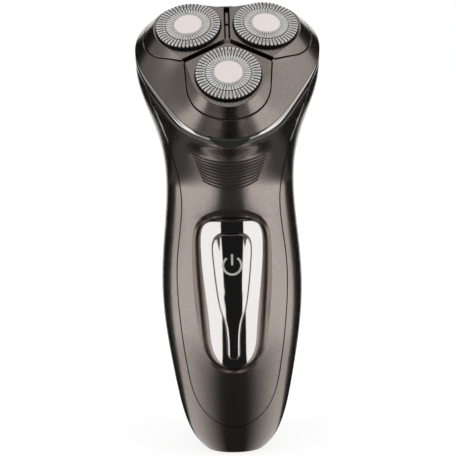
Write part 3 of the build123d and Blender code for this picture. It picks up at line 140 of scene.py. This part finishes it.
# Soft edges of the cards around the handle: what is measured, and where it makes the card clear and full.
# Angles from the front are in radians
NECK_RAMPS = (("away", 0.0235, 0.033), ("angle", 1.9, 1.4))
COLLAR_RAMPS = (("away", 0.022, 0.028), ("beside", 0.022, 0.006))
FOOT_SIDE_RAMP = ("angle", 2.0, 1.75)
FOOT_SHADE_RAMPS = (("angle", 0.2, 1.5), FOOT_SIDE_RAMP)
FOOT_CLEAR_RAMPS = (("away", 0.06, 0.125), ("angle", 0.35, 0.6), FOOT_SIDE_RAMP)


def linear(code):
    """Linear colour of an sRGB hex value, with full alpha."""
    parts = [int(code[index:index + 2], 16) / 255 for index in (1, 3, 5)]
    return tuple(p / 12.92 if p <= 0.04045 else ((p + 0.055) / 1.055) ** 2.4 for p in parts) + (1.0,)


def colour(name, code, words):
    """Colour property with its default written as a hex value."""
    return bpy.props.FloatVectorProperty(name=name, description=words, subtype="COLOR", size=4, min=0, max=1,
                                         default=linear(code))


def length(name, size, words):
    """Length property with its default in millimetres."""
    return bpy.props.FloatProperty(name=name, description=words, unit="LENGTH", default=size * MM, min=0)


class ShaverColours(bpy.types.PropertyGroup):
    """Colours of the finishes, and the painted shade of the foils' slots, groove and sides"""

    lacquer: colour("Lacquer", "#b0a59d", "Gunmetal lacquer of handle, head and pods")
    lacquer_dark: colour("Lacquer shade", "#978d87", "Darker flakes in the lacquer")
    chrome: colour("Chrome", "#e4e0df", "Plated trim, plate and power button")
    foil: colour("Foil", "#f4f2f0", "Steel of the foils")
    # Painted shade: this dark is drawn into the foils' slots, the groove between their rings and their sides
    slot: colour("Slot", "#2b2827", "Slots and sides of the foils")
    disc: colour("Disc", "#f3e8e4", "Satin centre discs of the foils")
    mark: colour("Mark", "#eceae8", "Print on the power button")
    release: colour("Release", "#3c403e", "Release button")
    black: colour("Black", "#1b1b1c", "Black moulded pieces")
    drive: colour("Drive", "#d8d6cc", "Gears and spindles")
    rubber: colour("Rubber", "#202122", "Seals of the spindles")
    board: colour("Board", "#1f5a34", "Circuit board")
    cell: colour("Cell", "#2f5f9a", "Wrap of the cell")
    brass: colour("Brass", "#c9a24b", "Pins of the inlet")
    floor: colour("Floor", "#f4f4f4", "Floor and background")
    floor_shade: colour("Floor shade", "#8a8a8a", "Matt coat of the floor that takes the shadow")


class ShaverSizes(bpy.types.PropertyGroup):
    """Sizes of surface detail, of the edges that shading rounds and of the foils' painted side shade"""

    flake: length("Flake", 0.35, "Size of the flakes in the lacquer")
    cloud: length("Cloud", 30, "Size of the slow changes of gloss in the lacquer")
    ripple: length("Ripple", 6, "Size of the ripple in the plating")
    wear: length("Wear", 3, "Size of the changes of gloss on the foils")
    moulding: length("Moulding", 0.5, "Grain of the moulded and drawn pieces")
    brushing: length("Brushing", 0.754, "Spacing of turning marks on the discs")
    edge: length("Edge", 0.3, "Softening of the edges of lacquered pieces")
    relief: length("Relief", 0.3, "Rounding of the edges of plated pieces")
    band: length("Band", 4.4, "Height of the trim band, measured down from the head's plane")
    # Painted shade: below this depth a foil's side is drawn in the painted shade colour
    skirt: length("Skirt", 0.5, "Depth below a foil's top where its side turns dark")
    weld: length("Weld", 0.002, "Distance within which a copy's points are merged")


def settings():
    """Colour and size settings of the scene."""
    return bpy.context.scene.shaver_colours, bpy.context.scene.shaver_sizes


def add_node(tree, kind, attributes=None, **links):
    """Adds a node, sets its attributes and inputs, and links the inputs that are given a socket."""
    node = tree.nodes.new(kind)
    for key, value in (attributes or {}).items():
        setattr(node, key, value)
    for key, value in links.items():
        numbered = key[0] == "i" and key[1:].isdigit()
        socket = node.inputs[int(key[1:]) if numbered else key.replace("_", " ")]
        if isinstance(value, bpy.types.NodeSocket):
            tree.links.new(value, socket)
        else:
            socket.default_value = value
    return node


def new_material(name):
    """Material with an empty tree, and the tree."""
    material = bpy.data.materials.new(name)
    material.use_nodes = True
    material.node_tree.nodes.clear()
    return material, material.node_tree


def finish_surface(tree, shader):
    """Links a shader to a new material output."""
    add_node(tree, "ShaderNodeOutputMaterial", Surface=shader.outputs[0])


def per_metre(size):
    """Texture scale that gives features of a size in metres."""
    return 1.0 / size


def blend(tree, *ramps, peak=1.0):
    """Product of soft ramps, each of a socket that goes from 0 at one value to 1 at another, times a peak."""
    result = peak
    for value, none, full in ramps:
        ramp = add_node(tree, "ShaderNodeMapRange", {"interpolation_type": "SMOOTHSTEP"}, Value=value,
                        From_Min=none, From_Max=full)
        result = add_node(tree, "ShaderNodeMath", {"operation": "MULTIPLY"}, i0=result,
                          i1=ramp.outputs[0]).outputs[0]
    return result


def highest(tree, *values):
    """Highest of several sockets or numbers."""
    result = values[0]
    for value in values[1:]:
        result = add_node(tree, "ShaderNodeMath", {"operation": "MAXIMUM"}, i0=result, i1=value).outputs[0]
    return result


def smooth_copy(name):
    """Merged and smoothed copy of a node's mesh that stands for the node."""
    piece = bpy.data.objects.new(f"{name}_skin", frame["nodes"][name].data.copy())
    bpy.context.scene.collection.objects.link(piece)
    bpy.ops.object.select_all(action="DESELECT")
    piece.select_set(True)
    bpy.context.view_layer.objects.active = piece
    bpy.ops.mesh.customdata_custom_splitnormals_clear()
    bpy.ops.object.mode_set(mode="EDIT")
    bpy.ops.mesh.select_all(action="SELECT")
    bpy.ops.mesh.remove_doubles(threshold=bpy.context.scene.shaver_sizes.weld)
    bpy.ops.object.mode_set(mode="OBJECT")
    bpy.ops.object.shade_smooth_by_angle(angle=SMOOTH_ANGLE)
    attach(piece, BODY_OF[name])
    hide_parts(name)
    return piece


def dress(piece, material):
    """Gives a piece one material."""
    piece.data.materials.clear()
    piece.data.materials.append(material)


def dress_copies(material, *names):
    """Gives smoothed copies of CAD nodes one material."""
    for name in names:
        dress(smooth_copy(name), material)


def dress_nodes(material, *names):
    """Gives CAD nodes one material."""
    for name in names:
        dress(frame["nodes"][name], material)


def sided(*stems):
    """Names of like nodes on all three sides."""
    return [f"{stem}_{side}" for stem in stems for side in SIDES]


def lacquer_material():
    """Metal-flake lacquer sprayed on ABS: a soft dark sheen with fine sparkle under a thin clear coat."""
    colours, sizes = settings()
    material, tree = new_material("gunmetal_lacquer_on_abs")
    place = add_node(tree, "ShaderNodeTexCoord").outputs["Object"]
    # Flakes are a few hundredths of a millimetre, drawn coarser so that they show
    flake = add_node(tree, "ShaderNodeTexNoise", Vector=place, Scale=per_metre(sizes.flake), Detail=2.0)
    cloud = add_node(tree, "ShaderNodeTexNoise", Vector=place, Scale=per_metre(sizes.cloud), Detail=1.0)
    share = add_node(tree, "ShaderNodeMapRange", Value=flake.outputs["Fac"], From_Min=0.3, From_Max=0.7)
    tint = add_node(tree, "ShaderNodeMix", {"data_type": "RGBA"}, i0=share.outputs[0],
                    i6=colours.lacquer_dark[:], i7=colours.lacquer[:])
    sheen = add_node(tree, "ShaderNodeMapRange", Value=cloud.outputs["Fac"], To_Min=0.21, To_Max=0.25)
    bevel = add_node(tree, "ShaderNodeBevel", {"samples": 4}, Radius=sizes.edge)
    bump = add_node(tree, "ShaderNodeBump", Strength=0.04, Distance=0.02 * MM, Height=flake.outputs["Fac"],
                    Normal=bevel.outputs[0])
    shader = add_node(tree, "ShaderNodeBsdfPrincipled", Base_Color=tint.outputs[2], Metallic=1.0,
                      Roughness=sheen.outputs[0], Coat_Weight=0.25, Coat_Roughness=0.1,
                      Normal=bump.outputs[0])
    finish_surface(tree, shader)
    return material


def crowned_normal(tree, place, low, high):
    """Normal of a band around the head that bulges between two heights, in metres along the head's axis."""
    level = add_node(tree, "ShaderNodeVectorMath", {"operation": "DOT_PRODUCT"}, i0=place, i1=HEAD_UP)
    plane = HEAD_ORIGIN.dot(HEAD_UP)
    lean = add_node(tree, "ShaderNodeMapRange", Value=level.outputs["Value"], From_Min=plane + low,
                    From_Max=plane + high, To_Min=CROWN_LEAN[0], To_Max=CROWN_LEAN[1])
    tilt = add_node(tree, "ShaderNodeVectorMath", {"operation": "SCALE"}, i0=HEAD_UP, Scale=lean.outputs[0])
    face = add_node(tree, "ShaderNodeNewGeometry").outputs["Normal"]
    bent = add_node(tree, "ShaderNodeVectorMath", {"operation": "ADD"}, i0=face, i1=tilt.outputs[0])
    return add_node(tree, "ShaderNodeVectorMath", {"operation": "NORMALIZE"}, i0=bent.outputs[0]).outputs[0]


def chrome_material(name, band=None):
    """Bright chrome plated on ABS: a near mirror with a trace of ripple, soft-edged or crowned."""
    colours, sizes = settings()
    material, tree = new_material(name)
    place = add_node(tree, "ShaderNodeTexCoord").outputs["Object"]
    ripple = add_node(tree, "ShaderNodeTexNoise", Vector=place, Scale=per_metre(sizes.ripple), Detail=1.0)
    wipe = add_node(tree, "ShaderNodeMapRange", Value=ripple.outputs["Fac"], To_Min=0.03, To_Max=0.07)
    if band:
        normal = crowned_normal(tree, place, *band)
    else:
        normal = add_node(tree, "ShaderNodeBevel", {"samples": 4}, Radius=sizes.relief).outputs[0]
    bump = add_node(tree, "ShaderNodeBump", Strength=0.05, Distance=0.01 * MM, Height=ripple.outputs["Fac"],
                    Normal=normal)
    shader = add_node(tree, "ShaderNodeBsdfPrincipled", Base_Color=colours.chrome[:], Metallic=1.0,
                      Roughness=wipe.outputs[0], Normal=bump.outputs[0])
    finish_surface(tree, shader)
    return material


def axis_frame(side):
    """Centre and directions of a foil: away from the head's middle, around, and along its axis."""
    joint = JOINTS[f"cutter_{side}_spin"]
    centre = Vector(joint["pos_m"])
    axis = Vector(joint["axis"]).normalized()
    away = centre - HEAD_ORIGIN
    away = (away - axis * away.dot(axis)).normalized()
    return centre, away, axis.cross(away), axis


def local_place(tree, side):
    """Place on a foil: along each of its directions, flat about its axis, and the distance from its axis."""
    centre, *directions = axis_frame(side)
    place = add_node(tree, "ShaderNodeTexCoord").outputs["Object"]
    offset = add_node(tree, "ShaderNodeVectorMath", {"operation": "SUBTRACT"}, i0=place, i1=centre).outputs[0]
    parts = []
    for way in directions:
        part = add_node(tree, "ShaderNodeVectorMath", {"operation": "DOT_PRODUCT"}, i0=offset, i1=way)
        parts.append(part.outputs["Value"])
    flat = add_node(tree, "ShaderNodeCombineXYZ", X=parts[0], Y=parts[1]).outputs[0]
    radius = add_node(tree, "ShaderNodeVectorMath", {"operation": "LENGTH"}, i0=flat).outputs["Value"]
    return parts, flat, radius


def ring_ramps(radius, ring, blur):
    """Ramps for blend at both edges of a ring, with its radii and their blur in millimetres."""
    inner, outer = ring
    rise = (radius, (inner - blur) * MM, (inner + blur) * MM)
    drop = (radius, (outer + blur) * MM, (outer - blur) * MM)
    return rise, drop


def painted_slot_shade(tree, angle, radius, count, ring, share):
    """Painted shade: 1 in the slots of a ring and 0 on its bars, where share is the part of the pitch painted
    dark.
    """
    turns = add_node(tree, "ShaderNodeMath", {"operation": "MULTIPLY"}, i0=angle, i1=count / math.tau)
    pitch = add_node(tree, "ShaderNodeMath", {"operation": "PINGPONG"}, i0=turns.outputs[0], i1=0.5)
    side = (pitch.outputs[0], share / 2 + SLOT_SIDE_BLUR, share / 2 - SLOT_SIDE_BLUR)
    return blend(tree, side, *ring_ramps(radius, ring, SLOT_END_BLUR))


def foil_material(side):
    """Pressed foil steel: bright bars, with shade painted into the slots, the groove between the two rings and the
    side.
    """
    colours, sizes = settings()
    material, tree = new_material(f"foil_steel_painted_shade_{side}")
    (along, around, up), flat, radius = local_place(tree, side)
    angle = add_node(tree, "ShaderNodeMath", {"operation": "ARCTAN2"}, i0=around, i1=along).outputs[0]
    slots = [painted_slot_shade(tree, angle, radius, *ring) for ring in PAINTED_SLOT_RINGS]
    groove = blend(tree, *ring_ramps(radius, PAINTED_GROOVE_RING, GROOVE_BLUR))
    blur = SKIRT_BLUR * MM
    below = blend(tree, (up, blur - sizes.skirt, -blur - sizes.skirt))
    # Painted shade: the slots, the groove and the side below the skirt are drawn in the dark colour
    dark = highest(tree, *slots, groove, below)
    tint = add_node(tree, "ShaderNodeMix", {"data_type": "RGBA"}, i0=dark, i6=colours.foil[:],
                    i7=colours.slot[:])
    wear = add_node(tree, "ShaderNodeTexNoise", Vector=flat, Scale=per_metre(sizes.wear), Detail=3.0)
    shine = add_node(tree, "ShaderNodeMapRange", Value=wear.outputs["Fac"], To_Min=0.25, To_Max=0.35)
    shader = add_node(tree, "ShaderNodeBsdfPrincipled", Base_Color=tint.outputs[2], Metallic=0.15,
                      Roughness=shine.outputs[0])
    finish_surface(tree, shader)
    return material


def disc_material(side):
    """Satin anodised disc turned about its axis: fine rings in a soft gloss."""
    colours, sizes = settings()
    material, tree = new_material(f"satin_anodised_disc_{side}")
    flat = local_place(tree, side)[1]
    # Turning marks are finer than a pixel, drawn coarser so that they show
    rings = add_node(tree, "ShaderNodeTexWave", {"wave_type": "RINGS", "rings_direction": "Z"}, Vector=flat,
                     Scale=math.tau * per_metre(sizes.brushing) / WAVE_RATE, Distortion=0.4, Detail=1.0)
    wear = add_node(tree, "ShaderNodeTexNoise", Vector=flat, Scale=per_metre(sizes.wear), Detail=3.0)
    shine = add_node(tree, "ShaderNodeMapRange", Value=wear.outputs["Fac"], To_Min=0.37, To_Max=0.47)
    bump = add_node(tree, "ShaderNodeBump", Strength=0.35, Distance=0.02 * MM, Height=rings.outputs["Fac"])
    shader = add_node(tree, "ShaderNodeBsdfPrincipled", Base_Color=colours.disc[:],
                      Roughness=shine.outputs[0], Normal=bump.outputs[0])
    finish_surface(tree, shader)
    return material


def moulded_material(name, base, roughness, metallic=0.0):
    """Injection-moulded or drawn surface: a fine even grain with slightly uneven gloss."""
    material, tree = new_material(name)
    place = add_node(tree, "ShaderNodeTexCoord").outputs["Object"]
    scale = per_metre(bpy.context.scene.shaver_sizes.moulding)
    grain = add_node(tree, "ShaderNodeTexNoise", Vector=place, Scale=scale, Detail=3.0)
    spread = 0.06
    shine = add_node(tree, "ShaderNodeMapRange", Value=grain.outputs["Fac"], To_Min=roughness - spread,
                     To_Max=roughness + spread)
    shade = 0.8
    dark = tuple(part * shade for part in base[:3]) + (1.0,)
    tint = add_node(tree, "ShaderNodeMix", {"data_type": "RGBA"}, i0=grain.outputs["Fac"], i6=dark,
                    i7=base[:])
    bump = add_node(tree, "ShaderNodeBump", Strength=0.15, Distance=0.03 * MM, Height=grain.outputs["Fac"])
    shader = add_node(tree, "ShaderNodeBsdfPrincipled", Base_Color=tint.outputs[2], Metallic=metallic,
                      Roughness=shine.outputs[0], Normal=bump.outputs[0])
    finish_surface(tree, shader)
    return material


class SHAVER_OT_shells(bpy.types.Operator):
    """Lacquered handle halves, head frame and pods"""

    bl_idname = "shaver.shells"
    bl_label = "Lacquered shells"

    def execute(self, context):
        dress_copies(lacquer_material(), "front_cover", "rear_housing", "head_frame", *sided("pod"))
        return {"FINISHED"}


class SHAVER_OT_brightwork(bpy.types.Operator):
    """Plated trim ring, button plate and power button with its print, and the release button"""

    bl_idname = "shaver.brightwork"
    bl_label = "Brightwork"

    def execute(self, context):
        colours, sizes = settings()
        dress_copies(chrome_material("chrome_plated_abs"), "button_plate", "power_button")
        dress_copies(chrome_material("chrome_plated_band", (-sizes.band, 0)), "trim_ring")
        dress_nodes(moulded_material("satin_print", colours.mark, 0.4), "power_mark")
        dress_copies(moulded_material("slate_grey_abs", colours.release, 0.42), "release_button")
        return {"FINISHED"}


class SHAVER_OT_foils(bpy.types.Operator):
    """Slotted foils and their satin centre discs"""

    bl_idname = "shaver.foils"
    bl_label = "Foils"

    def execute(self, context):
        for side in SIDES:
            dress_nodes(foil_material(side), f"foil_{side}")
            dress_nodes(disc_material(side), f"foil_disc_{side}")
        return {"FINISHED"}


class SHAVER_OT_drive(bpy.types.Operator):
    """Cutters, drive and everything else inside the head and the handle"""

    bl_idname = "shaver.drive"
    bl_label = "Drive"

    def execute(self, context):
        colours = context.scene.shaver_colours
        black = moulded_material("black_abs", colours.black, 0.45)
        steel = moulded_material("drawn_steel", colours.foil, 0.3, metallic=1.0)
        acetal = moulded_material("white_acetal", colours.drive, 0.4)
        dress_nodes(black, "hinge_block", "drive_deck", "gear_plate", "chassis", "inlet_body", "tact_switch",
                    *sided("retainer"))
        dress_nodes(steel, "hinge_pin", "deck_screws", "motor_screws", "motor_body", "motor_pinion",
                    "chassis_screws", "battery_tabs", *sided("cutter", "pod_pin"))
        dress_nodes(acetal, *sided("gear", "spindle"))
        dress_nodes(moulded_material("nitrile_rubber", colours.rubber, 0.7), "spindle_seals")
        dress_nodes(moulded_material("solder_mask", colours.board, 0.35), "circuit_board")
        dress_nodes(moulded_material("cell_wrap", colours.cell, 0.3), "battery")
        dress_nodes(moulded_material("rolled_brass", colours.brass, 0.3, metallic=1.0), "inlet_pins")
        return {"FINISHED"}


def seen_level(tree, unseen):
    """White for camera, glossy and transmitted rays, and another level for the light that falls on things."""
    rays = add_node(tree, "ShaderNodeLightPath").outputs
    seen = highest(tree, rays["Is Camera Ray"], rays["Is Glossy Ray"], rays["Is Transmission Ray"])
    return add_node(tree, "ShaderNodeMapRange", Value=seen, To_Min=unseen, To_Max=1.0).outputs[0]


def flat_at(outline, height):
    """Corners of an outline at one height."""
    return [(x, y, height) for x, y in outline]


def upright(ends, low, high):
    """Corners of an upright card between two points of the floor."""
    start, end = ends
    return [(*start, low), (*end, low), (*end, high), (*start, high)]


def mirrored(side, outline):
    """Outline on the right, for a side of 1, or its mirror image on the left, for -1."""
    return [(side * x, y) for x, y in outline]


def card(name, corners, material):
    """Flat studio card through its corners that only reflections show."""
    bpy.ops.object.select_all(action="DESELECT")
    bpy.ops.mesh.primitive_circle_add(vertices=len(corners), fill_type="NGON", location=(0, 0, 0))
    piece = bpy.context.object
    piece.name = name
    for vertex, corner in zip(piece.data.vertices, corners):
        vertex.co = corner
    piece.visible_camera = False
    piece.visible_shadow = False
    piece.visible_diffuse = False
    dress(piece, material)


def card_material(name, level):
    """Card of an even grey in reflections, where a level of 1 is white."""
    material, tree = new_material(name)
    finish_surface(tree, add_node(tree, "ShaderNodeEmission", Color=(1, 1, 1, 1), Strength=level))
    return material


def around_handle(tree):
    """Distance from the handle's axis, angle from its front and distance beside its middle, by name."""
    place = add_node(tree, "ShaderNodeTexCoord").outputs["Object"]
    parts = add_node(tree, "ShaderNodeSeparateXYZ", Vector=place).outputs
    flat = add_node(tree, "ShaderNodeCombineXYZ", X=parts["X"], Y=parts["Y"]).outputs[0]
    away = add_node(tree, "ShaderNodeVectorMath", {"operation": "LENGTH"}, i0=flat).outputs["Value"]
    beside = add_node(tree, "ShaderNodeMath", {"operation": "ABSOLUTE"}, i0=parts["X"]).outputs[0]
    before = add_node(tree, "ShaderNodeMath", {"operation": "MULTIPLY"}, i0=parts["Y"], i1=-1.0).outputs[0]
    angle = add_node(tree, "ShaderNodeMath", {"operation": "ARCTAN2"}, i0=beside, i1=before).outputs[0]
    return {"away": away, "angle": angle, "beside": beside}


def blend_around(tree, ramps, peak=1.0):
    """Blend of ramps that name what they measure around the handle."""
    around = around_handle(tree)
    return blend(tree, *[(around[key], none, full) for key, none, full in ramps], peak=peak)


def gauze_material(name, level, ramps):
    """Grey card that thins out where one of its ramps around the handle falls to 0."""
    material, tree = new_material(name)
    grey = add_node(tree, "ShaderNodeEmission", Color=(1, 1, 1, 1), Strength=level)
    clear = add_node(tree, "ShaderNodeBsdfTransparent")
    shader = add_node(tree, "ShaderNodeMixShader", i0=blend_around(tree, ramps), i1=clear.outputs[0],
                      i2=grey.outputs[0])
    finish_surface(tree, shader)
    return material


def foot_material():
    """Card that is dark before and behind the foot, lighter at its sides and white further out."""
    material, tree = new_material("graded_foot_card")
    shade = blend_around(tree, FOOT_SHADE_RAMPS, FOOT_SHADE)
    clear = blend_around(tree, FOOT_CLEAR_RAMPS, FOOT_CLEAR)
    level = highest(tree, shade, clear, FOOT_BLACK)
    finish_surface(tree, add_node(tree, "ShaderNodeEmission", Color=(1, 1, 1, 1), Strength=level))
    return material


def lamp(name, place, size, radiance):
    """Softbox aimed at the shaver, with its brightness per area, that only lights and isn't mirrored."""
    light = bpy.data.lights.new(name, "AREA")
    light.shape = "RECTANGLE"
    light.size, light.size_y = size
    light.energy = radiance * math.pi * size[0] * size[1]
    lamp_object = bpy.data.objects.new(name, light)
    bpy.context.scene.collection.objects.link(lamp_object)
    lamp_object.location = place
    lamp_object.rotation_euler = (Vector(LAMP_TARGET) - Vector(place)).to_track_quat("-Z", "Y").to_euler()
    lamp_object.visible_glossy = False


class SHAVER_OT_stage(bpy.types.Operator):
    """White floor and background, softboxes, cards for the reflections and the camera"""

    bl_idname = "shaver.stage"
    bl_label = "Stage"

    def execute(self, context):
        scene = context.scene
        scene.view_settings.view_transform = "Standard"
        self.floor(scene.shaver_colours)
        self.surround(scene)
        self.cards()
        for values in LAMPS:
            lamp(*values)
        self.camera(scene)
        return {"FINISHED"}

    def floor(self, colours):
        """Large floor that looks white, with a painted shade in its glow around the foot, and keeps the shadow."""
        bpy.ops.object.select_all(action="DESELECT")
        bpy.ops.mesh.primitive_plane_add(size=FLOOR_SIZE, location=(0, 0, 0))
        floor = bpy.context.object
        floor.name = "floor"
        material, tree = new_material("white_floor_painted_shade")
        matt = add_node(tree, "ShaderNodeBsdfDiffuse", Color=colours.floor_shade[:])
        place = add_node(tree, "ShaderNodeTexCoord").outputs["Object"]
        away = add_node(tree, "ShaderNodeVectorMath", {"operation": "LENGTH"}, i0=place)
        # Painted shade: the floor's glow is lower in a ring around the foot
        floor_painted_shade = add_node(tree, "ShaderNodeMapRange", Value=away.outputs["Value"], From_Min=PAINTED_SHADE_RING[0],
                        From_Max=PAINTED_SHADE_RING[1], To_Min=PAINTED_SHADE_LEVEL, To_Max=1.0)
        level = add_node(tree, "ShaderNodeMath", {"operation": "MULTIPLY"}, i0=floor_painted_shade.outputs[0],
                         i1=seen_level(tree, 0.0))
        glow = add_node(tree, "ShaderNodeEmission", Color=colours.floor[:], Strength=level.outputs[0])
        finish_surface(tree, add_node(tree, "ShaderNodeAddShader", i0=glow.outputs[0], i1=matt.outputs[0]))
        dress(floor, material)

    def surround(self, scene):
        """World that looks white and lights at a plain level."""
        world = bpy.data.worlds.new("surround")
        scene.world = world
        world.use_nodes = True
        tree = world.node_tree
        tree.nodes.clear()
        glow = add_node(tree, "ShaderNodeBackground", Color=(1, 1, 1, 1), Strength=seen_level(tree, AMBIENT))
        add_node(tree, "ShaderNodeOutputWorld", Surface=glow.outputs[0])

    def cards(self):
        """Cards in front, on the floor, under the neck, behind the flanks, beside the head and overhead."""
        black = card_material("black_card", BLACK)
        # The front card and the strip of floor before it give the chrome its dark middle
        card("front_card", upright(FRONT_CARD, 0, CARD_TOP), black)
        card("floor_card", flat_at(FRONT_STRIP, FLOOR_LIFT), black)
        # A graded card around the foot gives the lower handle its soft dark middle and its dark edges
        card("foot_card", flat_at(FOOT_CARD, FLOOR_LIFT / 2), foot_material())
        # A high card in front shades the head above the trim, and two under the neck shade that
        card("brow_card", upright(BROW_CARD, BROW_BOTTOM, CARD_TOP), card_material("charcoal_card", CHARCOAL))
        card("neck_card", flat_at(NECK_CARD, NECK_HEIGHT), gauze_material("neck_gauze", CHARCOAL, NECK_RAMPS))
        card("collar_card", flat_at(NECK_CARD, COLLAR_HEIGHT),
             gauze_material("collar_gauze", COLLAR_GREY, COLLAR_RAMPS))
        # Dark cards behind the flanks give the handle its dark edges
        for side in (-1, 1):
            card(f"flank_card_{side}", upright(mirrored(side, FLANK_CARD), 0, CARD_TOP), black)
            card(f"flank_floor_{side}", flat_at(mirrored(side, FLANK_STRIP), FLOOR_LIFT), black)
        card("roof_card", flat_at(ROOF_CARD, ROOF_HEIGHT), card_material("grey_card", ROOF_GREY))
        # Grey cards beside the head shade its cheeks, the left one more
        for side, level in CHEEK_GREYS.items():
            card(f"cheek_card_{side}", upright(mirrored(side, CHEEK_CARD), CHEEK_BOTTOM, CARD_TOP),
                 card_material(f"cheek_grey_{side}", level))

    def camera(self, scene):
        """Camera at the photograph's place."""
        back = Vector((math.sin(CAMERA_AZIMUTH) * math.cos(CAMERA_ELEVATION),
                       -math.cos(CAMERA_AZIMUTH) * math.cos(CAMERA_ELEVATION), math.sin(CAMERA_ELEVATION)))
        right = (-back).cross(Vector((0, 0, 1))).normalized()
        up = back.cross(right)
        turned_right = right * math.cos(CAMERA_ROLL) - up * math.sin(CAMERA_ROLL)
        turned_up = right * math.sin(CAMERA_ROLL) + up * math.cos(CAMERA_ROLL)
        lens = bpy.data.cameras.new("camera")
        lens.lens = CAMERA_LENS
        lens.sensor_width = CAMERA_SENSOR
        lens.shift_x, lens.shift_y = CAMERA_SHIFT
        lens.clip_start = CAMERA_CLIP
        camera = bpy.data.objects.new("camera", lens)
        scene.collection.objects.link(camera)
        place = Matrix((turned_right, turned_up, back)).transposed().to_4x4()
        place.translation = CAMERA_TARGET + back * CAMERA_DISTANCE
        camera.matrix_world = place
        scene.camera = camera


class SHAVER_PT_panel(bpy.types.Panel):
    """Steps that dress the shaver"""

    bl_idname = "SHAVER_PT_panel"
    bl_label = "Shaver"
    bl_space_type = "VIEW_3D"
    bl_region_type = "UI"
    bl_category = "Shaver"

    def draw(self, context):
        for step in STEPS:
            self.layout.operator(step.bl_idname)
        for group in (context.scene.shaver_colours, context.scene.shaver_sizes):
            for key in group.__annotations__:
                self.layout.prop(group, key)


STEPS = (SHAVER_OT_shells, SHAVER_OT_brightwork, SHAVER_OT_foils, SHAVER_OT_drive, SHAVER_OT_stage)
CLASSES = (ShaverColours, ShaverSizes) + STEPS + (SHAVER_PT_panel,)


def register():
    """Registers the classes and the scene's settings."""
    for entry in CLASSES:
        bpy.utils.register_class(entry)
    bpy.types.Scene.shaver_colours = bpy.props.PointerProperty(type=ShaverColours)
    bpy.types.Scene.shaver_sizes = bpy.props.PointerProperty(type=ShaverSizes)


def unregister():
    """Takes away the classes and the scene's settings."""
    del bpy.types.Scene.shaver_sizes
    del bpy.types.Scene.shaver_colours
    for entry in reversed(CLASSES):
        bpy.utils.unregister_class(entry)


def main():
    """Runs every step in order."""
    register()
    for step in STEPS:
        group, name = step.bl_idname.split(".")
        getattr(getattr(bpy.ops, group), name)()


if __name__ == "__main__":
    main()
